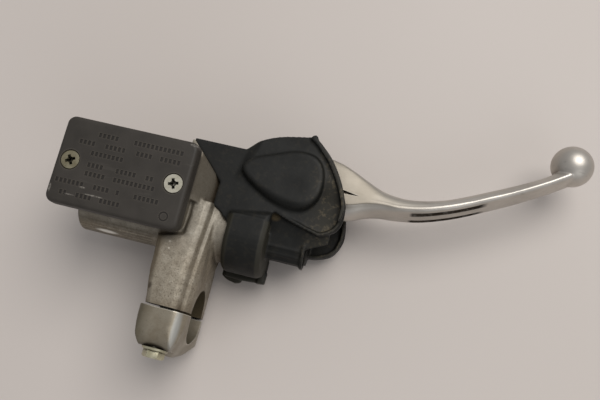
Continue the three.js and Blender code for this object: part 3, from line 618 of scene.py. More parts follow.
def nylon():
    m = Nodes("white_nylon")
    cloud = m.noise(150, 4, 0.5)
    m.color = m.ramp(cloud, (0.3, (0.6, 0.58, 0.52)), (0.7, (0.72, 0.7, 0.65)))
    return m.finish(0.5, 0, m.bump(cloud, 0.1, 0.2))


def table_top():
    """The pale table: nearly even, with a faint slow change of tone."""
    m = Nodes("table_top")
    cloud = m.noise(3, 2, 0.5)
    m.color = m.ramp(cloud, (0.3, (0.55, 0.497, 0.46)), (0.7, (0.595, 0.54, 0.505)))
    return m.finish(0.6, 0)


MATERIALS = {
    "cast_aluminium": cast_metal(),
    "lever_aluminium": lever_metal(),
    "cover_plastic": lid_plastic(),
    "black_rubber": rubber(),
    "yellow_zinc": plated("yellow_zinc", (0.37, 0.34, 0.225), (0.55, 0.52, 0.39)),
    "dark_steel": plated("dark_steel", (0.16, 0.155, 0.15), (0.27, 0.26, 0.25)),
    "brass": plated("brass", (0.38, 0.27, 0.1), (0.55, 0.41, 0.18)),
    "white_nylon": nylon(),
}
CAP_METAL = cap_metal()
BRIGHT_ZINC = plated("bright_zinc", (0.47, 0.44, 0.345), (0.68, 0.645, 0.54))
DULL_ZINC = plated("dull_zinc", (0.185, 0.16, 0.1), (0.29, 0.262, 0.18), 0.45)


def dressed(made, slot, body, node, material=None):
    """Gives a piece its material, the body it moves with, and the CAD node it stands in for."""
    made.data.materials.clear()
    made.data.materials.append(material or MATERIALS[slot])
    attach(made, body)
    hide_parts(node)


for subpart in frame["record"]["subparts"]:
    cad_mesh = frame["nodes"][subpart["node"]].data
    cad_mesh.materials.clear()
    cad_mesh.materials.append(MATERIALS[subpart["material_slot"]])


# ---- body casting


def reservoir_shell():
    """The reservoir's outside: its walls draw in a little towards the bottom."""
    rings = []
    for z, inset in ((RESERVOIR_BOTTOM, 1.3), (RIM_Z, 0)):
        length, width = RESERVOIR_LENGTH - 2 * inset, RESERVOIR_WIDTH - 2 * inset
        outline = rounded_rectangle(length, width, COVER_CORNER)
        rings.append([(x, y, z) for x, y in outline])
    return tilted(lofted("reservoir_shell", rings))


def reservoir_hollow():
    """The room for the fluid, less the two bosses that take the cover's screws."""
    space = prism("hollow", rounded_rectangle(HOLLOW_LENGTH, HOLLOW_WIDTH, 2.5), HOLLOW_BOTTOM, 1)
    for side in (-1, 1):
        boss = rod("boss", 4.4, HOLLOW_BOTTOM - 1, 2, 32)
        cut(space, moved(boss, (side * SCREW_SPACING / 2, 0, 0)))
    return tilted(space)


# Stations up the arm from the split: y, top, bottom, left edge.
ARM = [
    (-1, 20.8, -20.8, -8.6),
    (4, 20.8, -20.8, -9.3),
    (9, 20.8, -20.6, -10.3),
    (14, 20.6, -20.1, -11.1),
    (19, 20.1, -19.4, -11.5),
    (25, 19.2, -18.2, -12.4),
    (31, 18, -16.6, -13.6),
    (37, 16.9, -15.2, -14.6),
    (43, 16, -13.6, -15),
    (45.5, 15.7, -12.4, -15),
]


def valley():
    """The hollow that runs round the reservoir's corner, between its walls and the arm's ridge."""
    top = [(-30, 20.2), (-0.6, 29), (0.2, 38), (-0.2, 50), (-30, 50)]
    floor_outline = [(-30, 23.2), (-3, 30.6), (-2.2, 38), (-2.6, 50), (-30, 50)]
    return lofted("valley", [[(x, y, 15.4) for x, y in floor_outline], [(x, y, 19.5) for x, y in top]])


def arm_blank():
    """The arm: a broad rounded ridge, a groove, a narrow rib beside it, and a side that draws in."""
    rings = []
    for y, top, bottom, left in ARM:
        rib = 8.6 - 0.045 * max(y - 20, 0)
        section = [(left + 3.5, bottom), (left + 1.2, bottom + 2.5), (left + 0.4, 0)]
        section += [(left, top - 4.5), (left + 0.7, top - 1.6), (left + 2.6, top - 0.2)]
        section += [(-2, top), (2.6, top - 0.3), (4.6, top - 1.3), (5.4, top - 3.1)]
        section += [(5.8, top - 4.1), (6.5, top - 3.7), (7.3, top - 4.1), (rib, top - 6.6)]
        section += [(rib + 0.1, top - 9), (rib, 0), (rib - 1.2, bottom + 4), (rib - 3.2, bottom)]
        rings.append([(x, y, z) for x, z in section])
    return cut(lofted("arm", rings), valley())


def reservoir_web():
    """The slanting wall beside the reservoir, from just under the cover down to the perch."""
    end = [(-9, 4), (5, 4), (4.9, 9.4), (-3.2, 20.4), (-9, 20.4)]
    plan = [(-9, 44.2), (0.5, 43.2), (6, 44.8), (6, 54.4), (-8.2, 68.3), (-9, 68.3)]
    return common(prism_along_y("reservoir_web", end, 40, 68.3), prism("web_plan", plan, 0, 30))


# Stations of the swelling beside the arm: y, how far right it reaches, top.
SIDE = [
    (6, 7.4, 7),
    (13, 8.6, 9.6),
    (20, 9.3, 11.2),
    (27, 10.3, 12.2),
    (33, 11.6, 12.5),
    (38.5, 12.6, 12.4),
    (46, 12.7, 12),
]


def side_block():
    """The swelling between the arm and the perch, which takes in the cylinder's open end."""
    rings = []
    for y, right, top in SIDE:
        section = [(0, top), (0.62 * right, top), (0.8 * right, top - 1.2), (0.94 * right, top - 4)]
        section += [(right, top - 7.5), (right, -5), (0.76 * right, -12), (0, -12)]
        rings.append([(x, y, z) for x, z in section])
    return lofted("side_block", rings)


def tube_blank():
    """The cylinder's outside, its ends chamfered."""
    profile = [(11, TUBE_LEFT), (12, TUBE_LEFT + 1), (12, TUBE_RIGHT - 0.8), (11.2, TUBE_RIGHT)]
    return along_bore(turned("tube", profile))


def ear(bottom, top):
    """One of the perch's two ears, round about the lever's pivot."""
    x, y = PIVOT[:2]
    outline = [(12, 68.5), (x, y + 9.8)] + arc(x, y, 9.8, 90, -90, 16)[1:] + [(12, 47)]
    return prism("ear", outline, bottom, top)


def cylinder_cutters():
    """The stepped bore with the snap ring's groove, the hose port, and the port's flat face."""
    bore = [(BORE_RADIUS, BORE_BOTTOM), (BORE_RADIUS, 7.4), (MOUTH_RADIUS, 7.8)]
    bore += [(MOUTH_RADIUS, RING_LEFT), (RING_RADIUS, RING_LEFT), (RING_RADIUS, RING_RIGHT)]
    bore += [(MOUTH_RADIUS, RING_RIGHT), (MOUTH_RADIUS, 30)]
    port = [(4.3, -60), (4.3, BORE_BOTTOM - 2), (1.5, BORE_BOTTOM - 1), (1.5, -40)]
    face = rod("port_face", 8.4, -60, TUBE_LEFT + 0.25)
    return along_bore(turned("bore", bore)), along_bore(turned("port", port)), along_bore(face)


def body_casting():
    """The one casting: reservoir, cylinder, arm, half of the bar clamp, and the lever's perch."""
    plan = [(-12, 42), (19, 42), (20.5, 50), (19, 68.5), (-6, 68.5), (-12, 64)]
    web = prism("web", plan, -EAR_OUTER, 9.6)
    ears = [ear(EAR_INNER, EAR_TOP), ear(-EAR_OUTER, -EAR_INNER)]
    shells = join(reservoir_shell(), tube_blank(), arm_blank(), side_block(), web, reservoir_web(), *ears)
    casting = fused(shells, voxel=0.42, rounds=4)
    casting.name = "body_casting"
    slot = box("slot", (TUBE_RIGHT + 1, 20, -EAR_INNER), (60, 90, EAR_INNER))
    split = box("split", (-30, -8, -30), (30, SPLIT_GAP / 2, 30))
    cut(casting, slot, bar_cutter(), split, *cylinder_cutters(), reservoir_hollow())
    cut(casting, tilted(box("flat", (-40, -17.6, RIM_Z), (40, 30, 10))))
    for side in (-1, 1):
        screw_hole = moved(rod("screw_hole", SCREW_HOLE, -20, 2, 24), (side * SCREW_SPACING / 2, 0, 0))
        bolt_hole = spun(rod("bolt_hole", CLAMP_BOLT_HOLE, -1, 15, 24), -90, "X")
        cut(casting, tilted(screw_hole), moved(bolt_hole, (0, 0, side * CLAMP_BOLT_Z)))
    cut(casting, moved(rod("pivot_hole", PIVOT_HOLE, -20, 20, 32), PIVOT))
    dressed(shaded(casting), "cast_aluminium", "housing", "master_cylinder_body")


# ---- clamp cap and its bolts


def cap_blank():
    """The cap before its holes: a side outline, a plan outline and an end outline in common."""
    top = CLAMP_HALF_HEIGHT - 0.2
    side = [(0, top), (-8, top)]
    side += curve_points([(-8, top), (-12.4, top - 0.5), (-15, 18.5), (-UPPER_SEAT, 16.6)], 5)[1:]
    back = [(-UPPER_SEAT, 9.8), (-17.1, 6), (-17.7, 2.2), (-17.2, -1.8), (-15.7, -5.8)]
    back += [(-13.5, -9.8), (-11.9, -13.4), (-10, -17), (-7.2, -19.6), (-3.5, -top)]
    side += curve_points(back, 4) + [(0, -top)]
    left = [(-9.9, 1), (-9.8, -2), (-9.2, -7), (-8.1, -12), (-6.5, -15.2), (-4, -17.6), (0, -18.4)]
    right = [(3.6, -17.9), (6.2, -15.6), (8, -11.6), (8.8, -6.5), (9, -2), (9, 1)]
    end = [(-9.4, -top), (-9.9, -top + 3), (-9.9, top - 2.6)] + arc(-7.3, top - 2.6, 2.6, 180, 90, 5)[1:]
    end += arc(3.4, top - 5.6, 5.6, 90, 0, 8) + [(9, 4), (8.6, -12), (6.6, -top)]
    cap = common(prism_along_x("clamp_cap_skin", side, -20, 20), prism("plan", left + right, -30, 30))
    return common(cap, prism_along_y("end", end, -25, 5))


def bar_cutter():
    return spun(rod("bar", BAR_RADIUS, -40, 40, 96), 90, "Y")


def clamp_cap():
    """The cap with the bar's bore, the bolt holes and their flat seats cut in."""
    cap = fused(cap_blank(), voxel=0.36, rounds=5)
    cut(cap, bar_cutter(), box("split", (-30, -SPLIT_GAP / 2, -30), (30, 8, 30)))
    for seat, z in ((UPPER_SEAT, CLAMP_BOLT_Z), (LOWER_SEAT, -CLAMP_BOLT_Z)):
        hole = rod("hole", CLAMP_BOLT_HOLE, 0, 25, 24)
        near = seat - 0.35
        face = turned("face", [(6.1, near), (6.4, near + 0.4), (6.4, 25)], 48)
        for cutter in (hole, face):
            cut(cap, moved(spun(cutter, 90, "X"), (0, 0, z)))
    dressed(shaded(cap), "cast_aluminium", "housing", "clamp_cap", CAP_METAL)


def hexagon(across_flats, turn):
    """The six corners of a hexagon, turned by some degrees."""
    return arc(0, 0, across_flats / math.sqrt(3), turn, turn + 300, 5)


def clamp_bolt(name, node, seat, z, turn):
    """A hexagon flange bolt; its head points to -Y."""
    head = prism(name, hexagon(7.6, turn), -3.9, -0.6)
    common(head, turned("chamfer", [(3.6, -4), (4.6, -3.3), (4.6, 0)], 48))
    cut(head, turned("recess", [(2.4, -5), (2.2, -3.5)], 32))
    softened(head, width=0.18, segments=2)
    flange = turned("flange", [(4, -1.3), (5.1, -0.75), (5.2, -0.1), (5.1, 0)])
    tip = seat + CLAMP_BOLT_END
    shank = turned("shank", [(3, -0.5), (3, tip - 0.8), (2.3, tip)], 32)
    bolt = join(head, flange, shank)
    moved(spun(bolt, -90, "X"), (0, 0.2 - seat, z))
    dressed(shaded(bolt), "yellow_zinc", "housing", node)


# ---- reservoir cover and its screws


# Rows of plain sunk dashes on the lid: y, then each row's ranges of x.
MARK_ROWS = [
    (12.2, (-13, -4), (2, 24)),
    (8.2, (-20, -12), (-9, 1), (4, 12), (14, 24)),
    (4.4, (-14, 1),),
    (-0.4, (-14, -6), (-2, 8), (10.5, 15.5)),
    (-4, (-14, -5), (-2, 15.5)),
    (-8.7, (-25, -12), (-9, -2), (0.5, 3.5), (8, 18.5)),
    (-13.2, (-22, -18), (-15, -8), (-5, 4.5)),
]
MARK_PITCH = 1.75
MARK_WIDTH = 1.1
MARK_HALF_HEIGHT = 0.9
MARK_Z = -0.22


def sunk_marks():
    """The dashes, as one cutter, with a plain ring in the near right corner."""
    dashes = []
    for y, *ranges in MARK_ROWS:
        for left, right in ranges:
            for i in range(int((right - left) / MARK_PITCH)):
                x = left + i * MARK_PITCH
                low, high = (x, y - MARK_HALF_HEIGHT, MARK_Z), (x + MARK_WIDTH, y + MARK_HALF_HEIGHT, 1)
                dashes.append(box("dash", low, high))
    ring = rod("ring", 1.9, MARK_Z, 1, 32)
    cut(ring, rod("core", 1.35, -1, 2, 32))
    return join(moved(ring, (21.5, -13.4, 0)), *dashes)


def cover_body():
    """The lid: a rounded plate, its top edge softly rounded and its skirt a little drafted."""
    rings = []
    radius = 1.5
    profile = [(0, -COVER_THICKNESS), (0, 0.5 - COVER_THICKNESS), (0.12, -radius - 0.6)]
    profile += arc(radius + 0.25, -radius, radius, 180, 90, 6)
    for inset, z in profile:
        length, width = COVER_LENGTH - 2 * inset, COVER_WIDTH - 2 * inset
        outline = rounded_rectangle(length, width, COVER_CORNER - 0.5 * inset, 10)
        rings.append([(x, y, z) for x, y in outline])
    lid = lofted("reservoir_lid", rings)
    for side in (-1, 1):
        sink = [(SCREW_HOLE, -10), (SCREW_HOLE, -2.4), (4.05, -0.5), (4.25, 1)]
        cut(lid, moved(turned("sink", sink, 48), (side * SCREW_SPACING / 2, 0, 0)))
    pocket = prism("pocket", rounded_rectangle(33.5, 26, 2), -COVER_THICKNESS - 1, -3)
    cut(lid, pocket, sunk_marks())
    dressed(shaded(tilted(lid), 30), "cover_plastic", "housing", "reservoir_cover")


def cover_screw(name, node, side, turn, material=None):
    """A countersunk cross-recess screw."""
    profile = [(1.6, -13), (2, -12.4), (2, -2.3), (3.7, -0.55), (3.8, -0.35), (3.8, -0.12), (3.65, 0)]
    screw = turned(name, profile)
    arm = [(-2, -0.62), (2, -0.62), (2, 0.62), (-2, 0.62)]
    for angle in (0, 90):
        rings = []
        for z, size in ((-2.1, 0.35), (-1.3, 0.8), (0.5, 1.15)):
            rings.append([(x * size, y * min(size, 1), z) for x, y in arm])
        cut(screw, spun(lofted("slot", rings), angle, "Z"))
    cut(screw, turned("centre", [(0, -2.3), (0.6, -2.1), (1.35, 0.2)], 24))
    moved(spun(screw, turn, "Z"), (side * SCREW_SPACING / 2, 0, -0.12))
    dressed(shaded(tilted(screw), 30), "yellow_zinc", "housing", node, material)


# ---- lever

# Stations along the blade: a point of its front edge, the matching point of the crease between its top
# and its rear face, how far the rear face bulges out, and the half height.
BLADE = [
    (44, 79, 44, 58.4, 2.6, 6.4),
    (52, 77.4, 52.5, 58, 3.2, 6.7),
    (58.2, 75, 59.1, 58.8, 3.2, 6.9),
    (64.5, 72.1, 65.3, 60.7, 2.5, 7),
    (71.9, 69.2, 71.5, 61.6, 1.5, 7.1),
    (80.6, 68.3, 79.3, 61.8, 0.4, 7.3),
    (88.8, 69.4, 89, 63.6, 0.1, 7.4),
    (96.8, 71.7, 98.9, 67, 0, 7.4),
    (104.5, 75, 106.8, 70.5, 0, 7.3),
    (112.1, 78.7, 114.5, 74.4, 0, 7.1),
    (119.8, 82.5, 122.2, 78.4, 0, 6.9),
    (127.4, 86.5, 129.6, 82.6, 0.1, 6.8),
    (134.9, 90.9, 137.2, 87.3, 0.2, 6.7),
    (140.8, 95.4, 144, 91.8, 0.3, 6.6),
    (145.2, 101, 150.2, 95.9, 0.3, 5.9),
]
GROOVE_Z = 4
GROOVE_HALF_WIDTH = 1.5
GROOVE_DEPTH = 1.5
REAR_LEAN = 0.1
KNOCKER_LEFT = 33.9
KNOCKER_RIGHT = 41
LEVER_HALF_THICKNESS = 6


def smoothstep(low, high, value):
    """0 below low, 1 above high, with a soft start and end between them."""
    t = min(max((value - low) / (high - low), 0), 1)
    return t * t * (3 - 2 * t)


def groove_depth(x, height):
    """How deep the two grooves in the blade's rear face are at a place along it and a height."""
    ends = smoothstep(GROOVE_START - 1, GROOVE_START + 2, x)
    ends *= 1 - smoothstep(GROOVE_END - 3, GROOVE_END + 1, x)
    offset = abs(abs(height) - GROOVE_Z) / GROOVE_HALF_WIDTH
    return GROOVE_DEPTH * ends * (1 - smoothstep(0.35, 1, offset))


def blade_section(width, bulge, half):
    """Half a ring of the blade, from the middle of its front to the middle of its rear: (depth, height)."""
    front = [(0, 0), (0.1, 2.2), (0.5, 4.2), (1.4, half - 1.5)]
    top = [(0.3 * width + 1, half - 0.6), (0.72 * width, half - 0.15), (width - 0.4, half)]
    crease = [(width + 0.25, half - 0.35), (width + 0.8 + 0.2 * bulge, half - 1.1)]
    rear = [(1.1 + 0.5 * bulge, half - 2.3), (1.15 + 0.85 * bulge, 2.6), (1.15 + bulge, 0)]
    return front + top + crease + [(width + depth, height) for depth, height in rear]


def lever_blade():
    """The blade, lofted along its stations; its rear face leans and carries the grooves."""
    rings = []
    for fx, fy, cx, cy, bulge, half_height in curve_points([Vector(s) for s in BLADE], 12):
        front, crease = Vector((fx, fy, 0)), Vector((cx, cy, 0))
        width = (crease - front).length
        rearward = (crease - front) / width
        half = blade_section(width, bulge, half_height)
        section = half + [(depth, -height) for depth, height in half[-2:0:-1]]
        ring = []
        for depth, height in curve_points(section, 8, closed=True):
            if depth > width + 0.6:
                depth -= groove_depth(cx, height)
            if depth > width * 0.8:
                depth -= REAR_LEAN * height
            ring.append(front + rearward * depth + Vector((0, 0, height)))
        rings.append(ring)
    return lofted("lever_forging", rings)


def brake_lever():
    """Blade, ball, hub and the knocker that pushes the piston, as one forging."""
    blade = lever_blade()
    ball = moved(turned("ball", arc(0, 0, BALL_RADIUS, -90, 90, 40)), BALL_CENTRE)
    hub = moved(rod("hub", 9.2, -LEVER_HALF_THICKNESS, LEVER_HALF_THICKNESS), PIVOT)
    link = [(28, 59), (42.5, 59), (KNOCKER_RIGHT, BORE_Y), (KNOCKER_LEFT, BORE_Y), (KNOCKER_LEFT, 43)]
    link = prism("link", link, -4, 4)
    knocker = along_bore(rod("knocker", 3.9, KNOCKER_LEFT, KNOCKER_RIGHT, 40))
    neck = [(34, 54.5), (50, 57.5), (49, 73.5), (34, 70)]
    neck = prism("neck", neck, -LEVER_HALF_THICKNESS, LEVER_HALF_THICKNESS)
    lever = fused(join(blade, ball, hub, link, knocker, neck), voxel=0.36, rounds=2)
    cut(lever, prism("wedge", [(47, 65.9), (47, 63.6), (56, 63.7), (62, 63.9), (56, 65)], 4.6, 10))
    for z in (6, -30):
        cut(lever, moved(rod("clear", 12.5, z, z + 24), PIVOT))
    cut(lever, moved(rod("pivot", 4.9, -20, 20, 40), PIVOT))
    cut(lever, along_bore(rod("thread", 2.3, 10, 60, 24)))
    dressed(shaded(lever, 40), "lever_aluminium", "lever", "brake_lever")


# ---- rubber dust cover


def skin_height(x, y):
    """Height of the cover's upper skin: a wing by the reservoir, a dome over the pivot, the sleeve's top."""
    dome = smoothstep(10.5, 14.5, x - 0.25 * (y - 62)) * smoothstep(56, 66, y)
    fall = smoothstep(22, 50, x) * (1 - smoothstep(48, 66, y))
    sleeve = smoothstep(11.5, 14.5, x) * (1 - smoothstep(28.6, 30.6, x))
    sleeve *= 1 - smoothstep(42.8, 45.6, y - 0.16 * (x - 14))
    height = 12.7 + 1.7 * dome - 1.6 * fall
    return height + sleeve * (14.5 - height)


FRONT_EDGE = [(12, 71.5), (16.5, 75.6), (25.5, 79.6), (39.5, 82.5)]


def upper_skin():
    """The upper skin as a thick sheet that follows skin_height, cut to its outline."""
    outline = [(9, 42.6), (4.9, 45), (4.9, 55), (-10.5, 70.3), (-10.5, 71.5), (12, 71.5)]
    outline += curve_points(FRONT_EDGE)[1:]
    outline += curve_points([(39.5, 82.5), (47.5, 75.2), (53.5, 66.5), (57.8, 57)])[1:]
    outline += curve_points([(57.8, 57), (58, 50.5), (55.8, 45.8), (50.7, 42.8)])[1:]
    outline += [(46, 43.4), (36, 46), (29.6, 48.2), (29.6, 42), (13.2, 38.8)]
    step = 0.8
    across = [-14 + i * step for i in range(93)]
    rings = []
    for j in range(57):
        y = 38 + j * step
        top = [(x, y, skin_height(x, y)) for x in across]
        rings.append(top + [(x, y, z - SKIN_THICKNESS) for x, y, z in reversed(top)])
    return common(lofted("sheet", rings), prism("upper_skin", outline, 5, 18))


def teardrop_pad():
    """The raised pad over the lever's pivot, its edge rounded."""
    outline = [(13.4, 61), (14.9, 66.7), (26.3, 72), (34.1, 74.6), (42, 73.6)]
    outline += [(46.4, 67.4), (46.5, 58), (42, 52.6), (33.8, 51.8), (23.5, 54.6)]
    smooth = [Vector((x, y, 0)) for x, y in curve_points(outline, 6, closed=True)]
    middle = sum(smooth, Vector()) / len(smooth)
    rings = []
    levels = [(9.8, 0, 2.6), (12.2, 0, 1.7), (14.4, 0, 0.5)]
    levels += [(15.2, 0.25, 0.1), (15.8, 0.8, 0), (16.1, 1.7, 0)]
    for z, inset, spread in levels:
        ring = []
        for point in smooth:
            inward = (middle - point).normalized()
            rearward = Vector((-0.25, -1, 0)) * spread * max(inward.y, 0)
            ring.append(point + inward * inset + rearward + Vector((0, 0, z)))
        rings.append(ring)
    return lofted("pad", rings)


LIP_WIDTH = 1.5


def right_lip():
    """The lip down the right edge, a low bead on from it round to the sleeve, and a small ear at its top."""
    edge = [(38.8, 82.4), (46.9, 75.1), (53, 66.5), (57.3, 57.1), (57.3, 50.5)]
    inner = [(x - LIP_WIDTH, y - 0.6 * LIP_WIDTH) for x, y in edge]
    lip = strip_between("lip", edge, inner, 9, 15.8)
    edge = [(57.5, 50.5), (55.5, 46), (50.5, 42.8), (46, 43.4), (36, 46), (30, 48.5)]
    inner = [(56.4, 50.8), (54.6, 46.8), (50.4, 44), (46.3, 44.5), (36.3, 47.1), (30.6, 49.5)]
    bead = strip_between("bead", edge, inner, 9.4, 12.2)
    tip = prism("tip", arc(39, 81.4, 1.5, 0, 315, 7), 9, 15.9)
    return join(lip, bead, tip)


def front_wall():
    """The wall that closes the cover's front, from the left edge to the lever's opening."""
    outer = [(-10.5, 71.5), (12, 71.5)] + curve_points(FRONT_EDGE)[1:]
    inner = [(38.6, 80.3)] + curve_points([(38.6, 80.3), (26.2, 77.5), (17.6, 73.8), (13, 69.3)])[1:]
    return prism("front_wall", outer + inner + [(-9.3, 69.3)], -14.7, 11.6)


def strip_between(name, edge, inner, bottom, top, steps=8):
    """A prism between two smooth lines."""
    return prism(name, curve_points(edge, steps) + curve_points(inner, steps)[::-1], bottom, top)


def half_ring(radius, forward):
    """A (y, z) outline round the cylinder's axis, round at the rear, straight towards +Y."""
    return [(forward, -radius)] + arc(BORE_Y, 0, radius, 270, 90, 24) + [(forward, radius)]


def half_round(name, radius, left, right, forward):
    """A solid of that outline from one x to another."""
    return prism_along_x(name, half_ring(radius, forward), left, right)


def sleeve_band():
    """The half-round sleeve behind the perch, closed at its right end but for the lever's passage."""
    stations = [(SLEEVE_LEFT, 13.9), (SLEEVE_LEFT + 1.4, SLEEVE_RADIUS)]
    stations += [(SLEEVE_RIGHT - 2, SLEEVE_RADIUS), (SLEEVE_RIGHT, 13.9)]
    band = lofted("sleeve", [[(x, y, z) for y, z in half_ring(radius, 43.6)] for x, radius in stations])
    cut(band, half_round("inside", SLEEVE_RADIUS - 2.6, SLEEVE_LEFT - 1, SLEEVE_RIGHT - 1.8, 60))
    cut(band, half_round("passage", POCKET_RADIUS - 1, SLEEVE_RIGHT - 4, SLEEVE_RIGHT + 1, 60))
    cut(band, box("room", (SLEEVE_RIGHT - 4, BORE_Y + 3, -6.4), (60, 60, 9.6)))
    return band


def sleeve_flange():
    """The flat lip that the sleeve's lower edge ends in."""
    left, right = SLEEVE_LEFT, SLEEVE_RIGHT
    strip = [(left - 0.4, 31), (left - 0.4, 20.8), (20, 20.4), (26.5, 20.9)]
    strip += [(right + 0.5, 21.4), (right + 0.5, 31)]
    lip = prism("flange", strip, -12.4, -9.6)
    knob = [(right - 2.4, 26), (right - 2.6, 20.6), (right + 0.8, 21), (right + 0.9, 26)]
    corner = [(10.9, 28), (10.9, 21.2), (13.5, 19.6), (17.5, 18.8), (19.8, 19.6), (21, 24), (21, 28)]
    return join(lip, prism("knob", knob, -13, -8.8), prism("corner", corner, SKIN_BOTTOM, -12.6))


def pocket_shell():
    """The narrow pocket round the lever's knocker: ribbed along, with a tab round its open end."""
    left, right = SLEEVE_RIGHT - 1, POCKET_RIGHT - 0.6
    shell = half_round("pocket", POCKET_RADIUS, left, right, BORE_Y + 3)
    cut(shell, half_round("pocket_inside", POCKET_RADIUS - 1, left - 1, right + 1, 60))
    tab = half_round("tab", POCKET_RADIUS + 1, POCKET_RIGHT - 1.3, POCKET_RIGHT, BORE_Y + 2.5)
    cut(tab, half_round("tab_inside", POCKET_RADIUS - 1, left, right + 2, 60))
    ribs = []
    for angle in (100, 128, 156):
        y = BORE_Y + POCKET_RADIUS * math.cos(math.radians(angle))
        z = POCKET_RADIUS * math.sin(math.radians(angle))
        ribs.append(prism_along_x("rib", arc(y, z, 0.5, 0, 315, 7), left, right - 1))
    return join(shell, tab, *ribs)


def pocket_panel():
    """The sloping panel from the upper skin's free edge down to the pocket."""
    rings = []
    stations = [(SLEEVE_RIGHT - 1.2, 48.5, 9.9, 36), (38, 46, 9.6, 36)]
    stations += [(45, 44, 9.2, 36.5), (54, 45, 9.2, 41)]
    for x, upper_y, upper_z, lower_y in stations:
        middle_y = lower_y + 0.45 * (upper_y - lower_y)
        rings.append([
            (x, upper_y, upper_z),
            (x, middle_y, 7.4),
            (x, lower_y, POCKET_RADIUS + 0.2),
            (x, lower_y + 0.3, POCKET_RADIUS - 1),
            (x, middle_y + 0.2, 6),
            (x, upper_y + 1.4, upper_z - 1.7),
        ])
    return lofted("pocket_panel", rings)


def lower_skin():
    """The flat skin under the perch, with a rim that stands up round its rear right corner."""
    outline = [(SLEEVE_LEFT, 43), (SLEEVE_LEFT, 72)]
    outline += curve_points([(SLEEVE_LEFT, 72), (17.5, 76), (26, 79.8), (39.5, 82.5)])[1:]
    outline += curve_points([(39.5, 82.5), (47.5, 75.5), (54, 67), (58.2, 57)])[1:]
    outline += curve_points([(58.2, 57), (59.2, 48), (56, 40.5), (50, 37.4), (44, 36.5)])[1:]
    outline += [(29.6, 36.5)]
    edge = [(57.6, 60), (58.6, 52), (58.4, 46), (56, 40.5), (50, 37.4), (44, 36.5)]
    inner = [(56.3, 60), (57.3, 51), (57.1, 46.4), (55.1, 41.6), (49.7, 38.6), (44, 37.7)]
    rim = strip_between("lower_rim", edge, inner, SKIN_BOTTOM, -9.8, 6)
    return join(prism("lower_skin", outline, SKIN_BOTTOM, -12.6), rim)


def dust_cover():
    """The whole rubber cover as one moulding."""
    upper = [upper_skin(), teardrop_pad(), right_lip(), front_wall()]
    rear = [sleeve_band(), sleeve_flange(), pocket_shell(), pocket_panel()]
    pocket_floor = box("pocket_floor", (28.6, 33.5, SKIN_BOTTOM), (POCKET_RIGHT, 44.5, -6.5))
    cover = fused(join(*upper, *rear, lower_skin(), pocket_floor), voxel=0.45, rounds=4)
    cover.name = "rubber_cover"
    cut(cover, moved(rod("bolt_room", 6, -30, 13.5, 40), PIVOT))
    dressed(shaded(cover, 50), "black_rubber", "housing", "lever_dust_cover")


# ---- soft pieces inside the cylinder

SPRING_LEFT = -40.25
SPRING_RIGHT = -21.85
SPRING_RADIUS = 3.95
SPRING_TURNS = 6
WIRE_RADIUS = 0.45
BOOT_LEFT = 12.1


def return_spring():
    """A wire swept round the bore's axis, at one length; the real spring shortens as the piston comes in."""
    rings = []
    steps = SPRING_TURNS * 24
    for i in range(steps + 1):
        part = i / steps
        angle = 2 * math.pi * SPRING_TURNS * part
        radial = Vector((0, math.cos(angle), math.sin(angle)))
        x = SPRING_LEFT + (SPRING_RIGHT - SPRING_LEFT) * part
        wire = arc(SPRING_RADIUS, x, WIRE_RADIUS, 0, 324, 9)
        rings.append([Vector((along, BORE_Y, 0)) + radial * outward_by for outward_by, along in wire])
    spring = shaded(lofted("piston_return_spring", rings))
    dressed(spring, "dark_steel", "housing", "return_spring")
    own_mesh(spring)


def piston_boot():
    """The bellows between the cylinder and the piston's stem."""
    outside, inside = [], []
    for i in range(4):
        x = 14 + 2.75 * i
        outside += [(5.6, x), (6.2, x + 0.6), (6.5, x + 1.375), (6.2, x + 2.1)]
        inside += [(4.7, x), (5.6, x + 1.375)]
    outside = [(6.85, BOOT_LEFT), (6.85, BOOT_LEFT + 1.5)] + outside + [(5.5, 25), (5.5, 27)]
    boot = turned("piston_bellows", outside, 48)
    inside = [(4.7, 11)] + inside + [(3.9, 24.6), (3.9, 28)]
    cut(boot, turned("bellows_hollow", inside, 48))
    shaded(along_bore(boot))
    dressed(boot, "black_rubber", "housing", "piston_boot")
    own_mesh(boot)


# ---- build

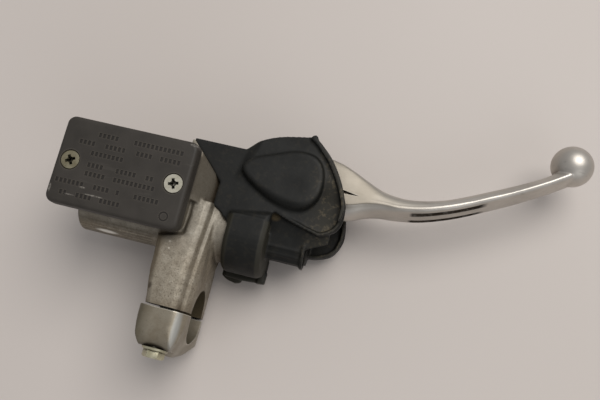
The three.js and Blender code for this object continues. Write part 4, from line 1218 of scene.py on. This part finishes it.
body_casting()
clamp_cap()
clamp_bolt("upper_clamp_bolt", "clamp_bolt_upper", UPPER_SEAT, CLAMP_BOLT_Z, 8)
clamp_bolt("lower_clamp_bolt", "clamp_bolt_lower", LOWER_SEAT, -CLAMP_BOLT_Z, 20)
cover_body()
cover_screw("left_cover_screw", "cover_screw_left", -1, 28, DULL_ZINC)
cover_screw("right_cover_screw", "cover_screw_right", 1, 16, BRIGHT_ZINC)
brake_lever()
dust_cover()
return_spring()
piston_boot()


# ---- table, light and camera


def floor():
    """The table, far larger than what the camera sees."""
    half = 3000
    corners = [(-half, -half), (half, -half), (half, half), (-half, half)]
    made = new_object("table", [(x, y, FLOOR_Z) for x, y in corners], [(0, 1, 2, 3)])
    made.data.materials.append(table_top())


def area_light(name, position, target, size, power, color):
    """A round soft light, in metres and watts, aimed at the target."""
    data = bpy.data.lights.new(name, "AREA")
    data.shape = "DISK"
    data.size = size
    data.energy = power
    data.color = color
    light = bpy.data.objects.new(name, data)
    bpy.context.scene.collection.objects.link(light)
    light.location = position
    light.rotation_mode = "QUATERNION"
    light.rotation_quaternion = (Vector(target) - Vector(position)).to_track_quat("-Z", "Y")


def sky(color, strength):
    world = bpy.data.worlds.new("room")
    world.use_nodes = True
    background = world.node_tree.nodes["Background"]
    background.inputs["Color"].default_value = (*color, 1)
    background.inputs["Strength"].default_value = strength
    bpy.context.scene.world = world


CAMERA_PLACE = (0.0712, -0.0099, 0.2666)
CAMERA_TURN = (15.6, 3.38, 14.36)  # degrees about X, Y and Z, from looking straight down


def camera():
    """Stands above the table near its middle, where the photo was taken from."""
    data = bpy.data.cameras.new("camera")
    data.sensor_width = 36
    data.lens = 39
    data.clip_start = 0.01
    made = bpy.data.objects.new("camera", data)
    bpy.context.scene.collection.objects.link(made)
    axes = Euler([math.radians(angle) for angle in CAMERA_TURN]).to_matrix().to_4x4()
    made.matrix_world = Matrix.Translation(CAMERA_PLACE) @ axes
    bpy.context.scene.camera = made


floor()
sky((0.97, 0.98, 1), 0.39)
MIDDLE = (0.04, 0.04, 0)
area_light("key", (0.5, 0.74, 1.38), MIDDLE, size=1.35, power=18.4, color=(1, 0.98, 0.95))
area_light("fill", (0.9, -0.9, 0.9), MIDDLE, size=1, power=2.2, color=(0.95, 0.98, 1))
camera()
bpy.context.scene.view_settings.view_transform = "Standard"
